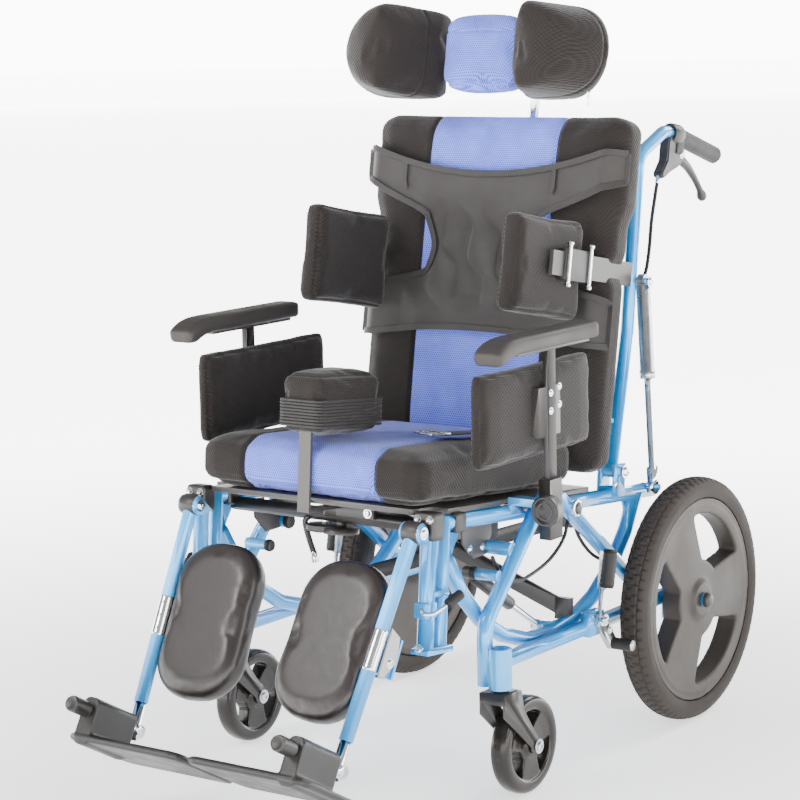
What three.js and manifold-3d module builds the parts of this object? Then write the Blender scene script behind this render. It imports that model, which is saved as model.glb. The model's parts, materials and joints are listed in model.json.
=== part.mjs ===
// A tilt in space wheelchair: a wheeled base, a seat frame that tilts on it, and a back that reclines.
// Millimetres, Z up. The chair faces -Y and its left side is +X. Each sub-part is one named mesh.
import * as THREE from "three";
import { mergeVertices, toCreasedNormals } from "three/addons/utils/BufferGeometryUtils.js";
import Module from "manifold-3d";

const wasm = await Module();
wasm.setup();

const chair = new THREE.Group();
const SIDES = [["left", 1], ["right", -1]];

// Clearances, the overrun of every cut, and the fineness of round work.
const gap = 0.3;
const runGap = 0.4;
const over = 4;
const weld = 0.0005;
const creaseAngle = Math.PI / 5;
const bendStep = Math.PI / 6;
const tubeSides = 10;
const shaftSides = 12;
const wheelSides = 26;

// Colours as the eye sees them, with how rough and how metallic each finish is.
const looks = {
  paint: { color: 0x6f98cf, roughness: 0.28, metalness: 0.55 },
  chrome: { color: 0xc9ccd0, roughness: 0.18, metalness: 1 },
  zinc: { color: 0x9c9fa3, roughness: 0.45, metalness: 0.9 },
  black: { color: 0x17171a, roughness: 0.45, metalness: 0 },
  steelBlack: { color: 0x1c1c1f, roughness: 0.35, metalness: 0.6 },
  tyre: { color: 0x38332f, roughness: 0.85, metalness: 0 },
  rim: { color: 0x3a3531, roughness: 0.7, metalness: 0 },
  armPad: { color: 0x35363a, roughness: 0.75, metalness: 0 },
  leather: { color: 0x33261f, roughness: 0.55, metalness: 0 },
  mesh: { color: 0x1b191a, roughness: 0.95, metalness: 0 },
  blueMesh: { color: 0x7188cf, roughness: 0.9, metalness: 0 },
  harness: { color: 0x241f20, roughness: 0.95, metalness: 0 },
};

function point(x, y, z) {
  return new THREE.Vector3(x, y, z);
}

// A closed solid from one or more geometries, joined; only the positions are kept.
function solid(...geometries) {
  const made = geometries.map((geometry) => {
    const bare = new THREE.BufferGeometry();
    bare.setAttribute("position", geometry.getAttribute("position"));
    if (geometry.index) bare.setIndex(geometry.index);
    const merged = mergeVertices(bare.index ? bare.toNonIndexed() : bare, weld);
    return new wasm.Manifold(
      new wasm.Mesh({
        numProp: 3,
        vertProperties: merged.getAttribute("position").array,
        triVerts: new Uint32Array(merged.index.array),
      }),
    );
  });
  return join(made);
}

function join(solids) {
  return solids.reduce((sum, next) => sum.add(next));
}

function cut(body, ...tools) {
  return tools.reduce((rest, tool) => rest.subtract(tool), body);
}

// Puts a solid into a group as a named mesh with its own material.
function place(group, name, body, look) {
  const mesh = body.getMesh();
  const geometry = new THREE.BufferGeometry();
  geometry.setAttribute("position", new THREE.BufferAttribute(mesh.vertProperties, 3));
  geometry.setIndex(new THREE.BufferAttribute(mesh.triVerts, 1));
  const item = new THREE.Mesh(
    toCreasedNormals(geometry, creaseAngle),
    new THREE.MeshStandardMaterial(look),
  );
  item.name = name;
  group.add(item);
  return item;
}

// A straight round bar between two points.
function rod(from, to, radius, sides = tubeSides, endRadius = radius) {
  const way = to.clone().sub(from);
  const bar = new THREE.CylinderGeometry(endRadius, radius, way.length(), sides);
  const turn = new THREE.Quaternion().setFromUnitVectors(point(0, 1, 0), way.clone().normalize());
  bar.applyQuaternion(turn);
  const middle = from.clone().add(to).divideScalar(2);
  bar.translate(middle.x, middle.y, middle.z);
  return solid(bar);
}

// A round bar that lies across the chair, from one X to another.
function crossRod(x0, x1, y, z, radius, sides = tubeSides) {
  return rod(point(x0, y, z), point(x1, y, z), radius, sides);
}

function box(x0, x1, y0, y1, z0, z1) {
  const block = new THREE.BoxGeometry(Math.abs(x1 - x0), Math.abs(y1 - y0), Math.abs(z1 - z0));
  block.translate((x0 + x1) / 2, (y0 + y1) / 2, (z0 + z1) / 2);
  return solid(block);
}

// A curve given as stations, one ring of the tube at each: its point and its direction there.
class StationLine extends THREE.Curve {
  constructor(stations) {
    super();
    this.stations = stations;
  }

  station(t) {
    return this.stations[Math.round(t * (this.stations.length - 1))];
  }

  getPoint(t) {
    return this.station(t).at.clone();
  }

  getPointAt(t) {
    return this.getPoint(t);
  }

  getTangentAt(t) {
    return this.station(t).way.clone();
  }
}

// Straight runs between corners, with an arc of the bend's radius at each corner.
function bentStations(corners, bend) {
  const last = corners.length - 1;
  return corners.flatMap((corner, i) => {
    const before = corner.clone().sub(corners[Math.max(i - 1, 0)]).normalize();
    const after = corners[Math.min(i + 1, last)].clone().sub(corner).normalize();
    if (i === 0) return [{ at: corner, way: after }];
    if (i === last) return [{ at: corner, way: before }];
    const turn = before.angleTo(after);
    const start = corner.clone().addScaledVector(before, -bend * Math.tan(turn / 2));
    const inward = after.clone().addScaledVector(before, -before.dot(after)).normalize();
    const steps = Math.max(1, Math.ceil(turn / bendStep));
    return Array.from({ length: steps + 1 }, (_, k) => {
      const angle = (turn * k) / steps;
      return {
        at: start
          .clone()
          .addScaledVector(before, bend * Math.sin(angle))
          .addScaledVector(inward, bend * (1 - Math.cos(angle))),
        way: before.clone().multiplyScalar(Math.cos(angle)).addScaledVector(inward, Math.sin(angle)),
      };
    });
  });
}

// Stations along an arc in a plane across X, the angle counted from +Y towards +Z.
function arcStations(x, centreY, centreZ, radius, from, to, steps) {
  const turnWay = Math.sign(to - from);
  return Array.from({ length: steps + 1 }, (_, k) => {
    const angle = from + ((to - from) * k) / steps;
    return {
      at: point(x, centreY + radius * Math.cos(angle), centreZ + radius * Math.sin(angle)),
      way: point(0, -Math.sin(angle) * turnWay, Math.cos(angle) * turnWay),
    };
  });
}

function sweep(stations, radius, sides = tubeSides) {
  const ring = Array.from({ length: sides }, (_, k) => {
    const angle = (2 * Math.PI * k) / sides;
    return new THREE.Vector2(radius * Math.cos(angle), radius * Math.sin(angle));
  });
  return solid(
    new THREE.ExtrudeGeometry(new THREE.Shape(ring), {
      steps: stations.length - 1,
      extrudePath: new StationLine(stations),
    }),
  );
}

function pipe(corners, radius, bend, sides = tubeSides) {
  return sweep(bentStations(corners, bend), radius, sides);
}

// An outline in Y and Z, given as points or a shape, made into a plate from one X to another.
function plate(outline, x0, x1, edge = 0, edgeSteps = 2) {
  const shape = Array.isArray(outline)
    ? new THREE.Shape(outline.map(([y, z]) => new THREE.Vector2(y, z)))
    : outline;
  const body = new THREE.ExtrudeGeometry(shape, {
    depth: Math.abs(x1 - x0) - 2 * edge,
    bevelEnabled: edge > 0,
    bevelThickness: edge,
    bevelSize: edge,
    bevelOffset: -edge,
    bevelSegments: edgeSteps,
    curveSegments: 4,
  });
  body.applyMatrix4(
    new THREE.Matrix4().makeBasis(point(0, 1, 0), point(0, 0, 1), point(1, 0, 0)),
  );
  body.translate(Math.min(x0, x1) + edge, 0, 0);
  return solid(body);
}

// A rectangle with rounded corners, as a shape about its own middle.
function roundedShape(width, height, radius) {
  const x = width / 2 - radius;
  const y = height / 2 - radius;
  const shape = new THREE.Shape();
  shape.absarc(x, y, radius, 0, Math.PI / 2);
  shape.absarc(-x, y, radius, Math.PI / 2, Math.PI);
  shape.absarc(-x, -y, radius, Math.PI, 1.5 * Math.PI);
  shape.absarc(x, -y, radius, 1.5 * Math.PI, 2 * Math.PI);
  return shape;
}

// A turned body about an axis along X: the profile is radius against distance along the axis.
function turned(profile, x, y, z, sides) {
  const lathe = new THREE.LatheGeometry(
    [...profile].reverse().map(([radius, along]) => new THREE.Vector2(radius, along)),
    sides,
  );
  lathe.rotateZ(-Math.PI / 2);
  lathe.translate(x, y, z);
  return solid(lathe);
}

// A stuffed block about its own middle: rounded edges, and faces that swell by the crown along X, Y, Z.
function stuffed(size, round, crown, cells) {
  const form = new THREE.BoxGeometry(2, 2, 2, ...cells);
  const at = form.getAttribute("position");
  const half = size.clone().divideScalar(2);
  for (let i = 0; i < at.count; i++) {
    const share = point(at.getX(i), at.getY(i), at.getZ(i));
    ["x", "y", "z"].forEach((axis) => {
      share[axis] = Math.sin((share[axis] * Math.PI) / 2);
    });
    const outer = share.clone().multiply(half);
    const inner = outer.clone().clamp(
      half.clone().negate().addScalar(round),
      half.clone().subScalar(round),
    );
    const out = outer.clone().sub(inner);
    out.setLength(round);
    const swell = point(
      crown.x * share.x * (1 - share.y ** 2) * (1 - share.z ** 2),
      crown.y * share.y * (1 - share.x ** 2) * (1 - share.z ** 2),
      crown.z * share.z * (1 - share.x ** 2) * (1 - share.y ** 2),
    );
    const made = inner.add(out).add(swell);
    at.setXYZ(i, made.x, made.y, made.z);
  }
  return form;
}

// The rear wheels, and the base's sides. The base's Y counts from a line near the middle of the chair.
const wheel = {
  radius: 203,
  width: 48,
  y: 250,
  x: 283,
  beadRadius: 170,
  shoulder: 14,
  tread: 17,
  rimWidth: 40,
  rimInner: 146,
  webWidth: 36,
  hubRadius: 30,
  hubWidth: 50,
  axle: 6,
  windowOuter: 143,
  windowInner: 66,
};
const base = {
  x: 242,
  tube: 12.7,
  bend: 46,
  strutY: -308,
  strutFootZ: 180,
  kneeZ: 272,
  apexY: -128,
  apexZ: 454,
  railZ: 206,
  footY: 187,
  axleTubeLow: 165,
  axleTubeHigh: 232,
  bossRadius: 12,
  bossReach: 16,
  capRadius: 11,
  capLength: 4,
  stubRadius: 11,
  stubX: 187,
  restY: -229,
  restZ: 372,
  pinY: -266,
  pinZ: 338,
  pinStubRadius: 9,
};
const pivot = { y: -72, z: 410, radius: 8, seatTilt: THREE.MathUtils.degToRad(5) };
const seat = { x: 215, tube: 12.7 };
const baseInnerX = base.x - base.tube;

// A caster housing on the outside of each strut, open at the top, over the swivel's bore.
const housing = {
  x: 266,
  y: -304,
  radius: 18,
  low: 177,
  high: 239,
  mouth: 14,
  mouthDepth: 12,
  bore: 6,
};
// The lock's bracket on the lower rail, and its pivot.
const lock = {
  y: -12,
  z: 220,
  plateInner: 253,
  plateOuter: 259,
  plateLength: 44,
  plateLow: 194,
  plateHigh: 232,
  pin: 4,
  armOuter: 266,
  handleTopY: 10,
  handleTopZ: 326,
  handleRadius: 9,
  armWidth: 16,
  shoeY: 27,
  shoeZ: 173,
  shoeRadius: 8.5,
  shoeInner: 257,
  shoeOuter: 302,
};
// The tilt spring's two pins and its barrel, on the left side only.
const tiltSpring = {
  x: 187,
  pin: 4,
  barrel: 11,
  rod: 5,
  eye: 10,
  eyeWidth: 12,
  barrelLength: 122,
  seatU: 17.2,
  seatRise: 6.6,
  headRadius: 7,
  headLength: 4,
};

for (const [side, s] of SIDES) {
  const x = s * base.x;
  const strut = pipe(
    [
      point(x, base.strutY, base.strutFootZ),
      point(x, base.strutY, base.kneeZ),
      point(x, base.apexY, base.apexZ),
      point(x, base.footY, base.railZ),
    ],
    base.tube,
    base.bend,
  );
  const rail = rod(
    point(x, base.strutY, base.railZ),
    point(x, wheel.y, base.railZ),
    base.tube,
  );
  const axleTube = rod(
    point(x, wheel.y, base.axleTubeLow),
    point(x, wheel.y, base.axleTubeHigh),
    base.tube,
  );
  const axle = crossRod(x, s * (wheel.x + wheel.hubWidth / 2 + base.capLength), wheel.y, wheel.radius,
    wheel.axle, shaftSides);
  const axleHead = crossRod(
    s * (wheel.x + wheel.hubWidth / 2 + gap),
    s * (wheel.x + wheel.hubWidth / 2 + base.capLength + gap),
    wheel.y,
    wheel.radius,
    wheel.axle * 2,
    shaftSides,
  );
  const collar = crossRod(x, s * (wheel.x - wheel.hubWidth / 2 - gap), wheel.y, wheel.radius,
    wheel.axle * 2, shaftSides);
  const boss = crossRod(s * baseInnerX, s * (base.x + base.bossReach), pivot.y, pivot.z,
    base.bossRadius, shaftSides);
  const bossCap = crossRod(
    s * (base.x + base.bossReach),
    s * (base.x + base.bossReach + base.capLength),
    pivot.y,
    pivot.z,
    base.capRadius,
    shaftSides,
  );
  const restStub = crossRod(x, s * base.stubX, base.restY, base.restZ, base.stubRadius, shaftSides);
  const pinStub = crossRod(x, s * (base.stubX + tiltSpring.eyeWidth), base.pinY, base.pinZ,
    base.pinStubRadius, shaftSides);
  const springPin = crossRod(
    x,
    s * (tiltSpring.x - tiltSpring.eyeWidth / 2 - gap - tiltSpring.headLength),
    base.pinY,
    base.pinZ,
    tiltSpring.pin,
    shaftSides,
  );
  const springHead = crossRod(
    s * (tiltSpring.x - tiltSpring.eyeWidth / 2 - gap),
    s * (tiltSpring.x - tiltSpring.eyeWidth / 2 - gap - tiltSpring.headLength),
    base.pinY,
    base.pinZ,
    tiltSpring.headRadius,
    shaftSides,
  );
  const barrel = rod(
    point(s * housing.x, housing.y, housing.low),
    point(s * housing.x, housing.y, housing.high),
    housing.radius,
    shaftSides,
  );
  const mouth = rod(
    point(s * housing.x, housing.y, housing.high - housing.mouthDepth),
    point(s * housing.x, housing.y, housing.high + over),
    housing.mouth,
    shaftSides,
  );
  const bore = rod(
    point(s * housing.x, housing.y, housing.low - over),
    point(s * housing.x, housing.y, housing.high),
    housing.bore + runGap,
    shaftSides,
  );
  const lockPlate = box(
    s * (base.x),
    s * lock.plateOuter,
    lock.y - lock.plateLength / 2,
    lock.y + lock.plateLength / 2,
    lock.plateLow,
    lock.plateHigh,
  );
  const lockPin = crossRod(
    s * lock.plateInner,
    s * (lock.armOuter + lock.pin),
    lock.y,
    lock.z,
    lock.pin,
    shaftSides,
  );
  const parts = [strut, rail, axleTube, axle, axleHead, collar, boss, bossCap, restStub, pinStub, barrel,
    lockPlate, lockPin];
  if (s > 0) parts.push(springPin, springHead);
  place(chair, `base_side_${side}`, cut(join(parts), mouth, bore), looks.paint);
}
place(
  chair,
  "pivot_cross_tube",
  crossRod(gap - baseInnerX, baseInnerX - gap, pivot.y, pivot.z, pivot.radius, shaftSides),
  looks.zinc,
);

// Rear wheels: a treaded tyre on a moulded rim with three broad spokes.
function spokeWindow(outer, inner, centreAngle) {
  const spread = Math.PI / 4.9;
  const innerSpread = Math.PI / 9;
  const shape = new THREE.Shape();
  shape.absarc(0, 0, outer, centreAngle - spread, centreAngle + spread);
  shape.absarc(0, 0, inner, centreAngle + innerSpread, centreAngle - innerSpread, true);
  return shape;
}
for (const [side, s] of SIDES) {
  const x = s * wheel.x;
  const half = wheel.width / 2;
  const tyre = turned(
    [
      [wheel.beadRadius + gap, wheel.rimWidth / 2 - half / 4],
      [wheel.beadRadius + gap, half - half / 8],
      [wheel.radius - wheel.shoulder, half],
      [wheel.radius - wheel.shoulder / 3, wheel.tread],
      [wheel.radius, 0],
      [wheel.radius - wheel.shoulder / 3, -wheel.tread],
      [wheel.radius - wheel.shoulder, -half],
      [wheel.beadRadius + gap, half / 8 - half],
      [wheel.beadRadius + gap, wheel.rimWidth / 2 - half / 4],
    ],
    x,
    wheel.y,
    wheel.radius,
    wheelSides,
  );
  const disc = turned(
    [
      [0, wheel.hubWidth / 2],
      [wheel.hubRadius, wheel.hubWidth / 2],
      [wheel.hubRadius + wheel.shoulder, wheel.webWidth / 2],
      [wheel.rimInner, wheel.webWidth / 2],
      [wheel.rimInner, wheel.rimWidth / 2],
      [wheel.beadRadius, wheel.rimWidth / 2],
      [wheel.beadRadius, -wheel.rimWidth / 2],
      [wheel.rimInner, -wheel.rimWidth / 2],
      [wheel.rimInner, -wheel.webWidth / 2],
      [wheel.hubRadius + wheel.shoulder, -wheel.webWidth / 2],
      [wheel.hubRadius, -wheel.hubWidth / 2],
      [0, -wheel.hubWidth / 2],
    ],
    x,
    wheel.y,
    wheel.radius,
    wheelSides,
  );
  const windows = [0, 1, 2].map((k) => {
    const shape = spokeWindow(wheel.windowOuter, wheel.windowInner, Math.PI * (1 / 3 + (2 * k) / 3));
    return plate(shape, x - half, x + half).translate([0, wheel.y, wheel.radius]);
  });
  const bore = crossRod(x - wheel.width, x + wheel.width, wheel.y, wheel.radius, wheel.axle + runGap,
    shaftSides);
  place(chair, `rear_rim_${side}`, cut(disc, ...windows, bore), looks.rim);
  place(chair, `rear_tyre_${side}`, tyre, looks.tyre);
}

// Casters: a sheet fork that swivels in the housing, and a solid wheel with windows.
const caster = {
  radius: 76,
  width: 32,
  trail: 63,
  bead: 58,
  hub: 17,
  hubWidth: 34,
  web: 24,
  axle: 5,
  head: 9,
  headLength: 4,
  leg: 4,
  legGap: 2,
  crownLow: 157,
  crownHigh: 173,
  crownLength: 46,
  eye: 13,
  kneeDrop: 34,
  collar: 14,
  windowOuter: 53,
  windowInner: 27,
};
const casterY = housing.y + caster.trail;
for (const [side, s] of SIDES) {
  const x = s * housing.x;
  const legInner = caster.hubWidth / 2 + caster.legGap;
  const legOuter = legInner + caster.leg;
  const front = housing.y - caster.crownLength / 2;
  const rear = housing.y + caster.crownLength / 2;
  const legShape = new THREE.Shape();
  legShape.moveTo(front, caster.crownHigh);
  legShape.lineTo(front, caster.crownLow - caster.kneeDrop / 2);
  legShape.lineTo(casterY - caster.eye, caster.radius);
  legShape.absarc(casterY, caster.radius, caster.eye, Math.PI, 2 * Math.PI);
  legShape.lineTo(rear + caster.eye / 2, caster.crownLow - caster.kneeDrop / 2);
  legShape.lineTo(rear, caster.crownHigh);
  const legs = [1, -1].map((way) => plate(legShape, x + way * legInner, x + way * legOuter));
  const crown = box(x - legOuter, x + legOuter, front, rear, caster.crownLow, caster.crownHigh);
  const collar = rod(
    point(x, housing.y, caster.crownHigh),
    point(x, housing.y, housing.low - gap),
    caster.collar,
    shaftSides,
  );
  const stem = rod(
    point(x, housing.y, caster.crownHigh),
    point(x, housing.y, housing.high - housing.mouthDepth + caster.headLength),
    housing.bore,
    shaftSides,
  );
  const axle = crossRod(x - legOuter - caster.headLength, x + legOuter + caster.headLength, casterY,
    caster.radius, caster.axle, shaftSides);
  const heads = [1, -1].map((way) =>
    crossRod(
      x + way * legOuter,
      x + way * (legOuter + caster.headLength),
      casterY,
      caster.radius,
      caster.head,
      shaftSides,
    ),
  );
  place(chair, `caster_fork_${side}`, join([...legs, crown, collar, stem, axle, ...heads]),
    looks.steelBlack);

  const half = caster.width / 2;
  const disc = turned(
    [
      [0, caster.hubWidth / 2],
      [caster.hub, caster.hubWidth / 2],
      [caster.hub, caster.web / 2],
      [caster.bead, caster.web / 2],
      [caster.bead, half],
      [caster.radius - half / 3, half],
      [caster.radius, half / 2],
      [caster.radius, -half / 2],
      [caster.radius - half / 3, -half],
      [caster.bead, -half],
      [caster.bead, -caster.web / 2],
      [caster.hub, -caster.web / 2],
      [caster.hub, -caster.hubWidth / 2],
      [0, -caster.hubWidth / 2],
    ],
    x,
    casterY,
    caster.radius,
    wheelSides - 8,
  );
  const holes = [0, 1, 2].map((k) => {
    const shape = spokeWindow(caster.windowOuter, caster.windowInner, Math.PI * (1 / 2 + (2 * k) / 3));
    return plate(shape, x - half, x + half).translate([0, casterY, caster.radius]);
  });
  const bore = crossRod(x - caster.width, x + caster.width, casterY, caster.radius,
    caster.axle + runGap, shaftSides);
  place(chair, `caster_wheel_${side}`, cut(disc, ...holes, bore), looks.black);
}

// Wheel locks: a lever on the lower rail whose round shoe is pushed against the tyre.
for (const [side, s] of SIDES) {
  const inner = s * (lock.plateOuter + gap);
  const outer = s * lock.armOuter;
  const half = lock.armWidth / 2;
  const arm = plate(
    [
      [lock.y - half, lock.z + half],
      [lock.y - half, lock.z - half],
      [lock.shoeY - half, lock.shoeZ - half],
      [lock.shoeY + half, lock.shoeZ - half],
      [lock.shoeY + half, lock.shoeZ + half],
      [lock.y + half, lock.z + half],
    ],
    inner,
    outer,
  );
  const handle = rod(
    point((inner + outer) / 2, lock.y, lock.z),
    point((inner + outer) / 2, lock.handleTopY, lock.handleTopZ),
    (lock.armOuter - lock.plateOuter - gap) / 2,
  );
  const gripFoot = point((inner + outer) / 2, lock.handleTopY, lock.handleTopZ)
    .lerp(point((inner + outer) / 2, lock.y, lock.z), 0.55);
  const grip = rod(
    gripFoot,
    point((inner + outer) / 2, lock.handleTopY, lock.handleTopZ),
    lock.handleRadius * 0.8,
    tubeSides,
    lock.handleRadius,
  );
  const shoe = crossRod(s * lock.shoeInner, s * lock.shoeOuter, lock.shoeY, lock.shoeZ, lock.shoeRadius);
  const bore = crossRod(s * lock.plateInner, s * (lock.armOuter + over), lock.y, lock.z,
    lock.pin + runGap, shaftSides);
  place(chair, `wheel_lock_${side}`, cut(join([arm, handle, grip, shoe]), bore), looks.steelBlack);
}

// The seat's arc, in the seat's own frame: u runs back along the rail and w up from it.
const receiver = { u: -302, radius: 11, high: 11, low: -181 };
// It hangs between a point on the receiver and one on the rail, and its depth is counted from their chord.
const arcEnds = { frontW: -54.5, rearU: 259.8, depth: 178 };
const arcFrontU = receiver.u + receiver.radius;
const arcSpanU = arcEnds.rearU - arcFrontU;
const arcSpan = Math.hypot(arcSpanU, arcEnds.frontW);
const arcRadius = (arcSpan ** 2 / 4 + arcEnds.depth ** 2) / (2 * arcEnds.depth);
const arcRise = (arcRadius - arcEnds.depth) / arcSpan;
const arc = {
  u: (arcFrontU + arcEnds.rearU) / 2 + arcRise * arcEnds.frontW,
  w: arcEnds.frontW / 2 + arcRise * arcSpanU,
  radius: arcRadius,
};
const arcFrom = Math.atan2(arcEnds.frontW - arc.w, arcFrontU - arc.u);
const arcTo = Math.atan2(-arc.w, arcEnds.rearU - arc.u);

// The tilt spring: a gas strut from a pin on the base to a bracket on the seat's arc.
const cosTilt = Math.cos(pivot.seatTilt);
const sinTilt = Math.sin(pivot.seatTilt);
function seatToBase(x, u, w) {
  return point(x, pivot.y + u * cosTilt + w * sinTilt, pivot.z - u * sinTilt + w * cosTilt);
}
const springSeatW =
  arc.w - Math.sqrt(arc.radius ** 2 - (tiltSpring.seatU - arc.u) ** 2) + tiltSpring.seatRise;
const springFoot = point(tiltSpring.x, base.pinY, base.pinZ);
const springHead = seatToBase(tiltSpring.x, tiltSpring.seatU, springSeatW);
const springWay = springHead.clone().sub(springFoot).normalize();
function alongSpring(from, distance) {
  return from.clone().addScaledVector(springWay, distance);
}
function springEye(at, pin) {
  const half = tiltSpring.eyeWidth / 2;
  const ring = crossRod(at.x - half, at.x + half, at.y, at.z, tiltSpring.eye, shaftSides);
  const hole = crossRod(at.x - half - over, at.x + half + over, at.y, at.z, pin, shaftSides);
  return [ring, hole];
}
const [footEye, footHole] = springEye(springFoot, tiltSpring.pin + runGap);
const [headEye, headHole] = springEye(springHead, tiltSpring.pin + 5 * runGap);
const springTube = rod(
  alongSpring(springFoot, tiltSpring.eye + tiltSpring.headLength),
  alongSpring(springFoot, tiltSpring.eye + tiltSpring.barrelLength),
  tiltSpring.barrel,
);
const springNeck = rod(
  alongSpring(springFoot, tiltSpring.eye / 2),
  alongSpring(springFoot, tiltSpring.eye * 2),
  tiltSpring.eyeWidth / 2,
);
const springBore = rod(
  alongSpring(springFoot, tiltSpring.eye + tiltSpring.pin * 2),
  alongSpring(springFoot, tiltSpring.eye + tiltSpring.barrelLength + over),
  tiltSpring.rod + runGap,
);
const springLength = springHead.distanceTo(springFoot);
const springRod = rod(
  alongSpring(springFoot, springLength - tiltSpring.barrelLength - tiltSpring.eye),
  alongSpring(springHead, -tiltSpring.eye / 2),
  tiltSpring.rod,
);
place(chair, "tilt_spring_barrel", cut(join([footEye, springNeck, springTube]), footHole, springBore),
  looks.black);
place(chair, "tilt_spring_rod", cut(join([headEye, springRod]), headHole), looks.chrome);

// The seat frame turns on the pivot tube. In its group Y is u, back along the rail, and Z is w, up from it.
const seatFrame = new THREE.Group();
seatFrame.position.set(0, pivot.y, pivot.z);
seatFrame.rotation.x = -pivot.seatTilt;
chair.add(seatFrame);

const rail = { front: -302, rear: 311 };
const hinge = { u: 180, w: 42, cheek: 4, width: 34, eye: 12, pin: 5, headRadius: 9, headLength: 5 };
const strutPin = { u: 280, w: 9, radius: 5, reach: 22 };
const gusset = { length: 46, thick: 5 };
const armSocket = {
  u: -120,
  x: 288,
  width: 20,
  length: 34,
  low: -22,
  high: 45,
  plateLow: 13.5,
  plateHigh: 25,
  plateLength: 34,
  webInner: 221,
  knobOut: 10,
  knobRadius: 24,
  knobLength: 16,
  grasp: 4,
};
const armPost = { thick: 10, width: 20, low: 404, high: 682 };
const springBracket = { width: 26, drop: 10 };
const springSeatInner = tiltSpring.x + tiltSpring.eyeWidth / 2 + gap;

function arcTube(x, radius) {
  return sweep(arcStations(x, arc.u, arc.w, arc.radius, arcFrom, arcTo, 10), radius);
}

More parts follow.
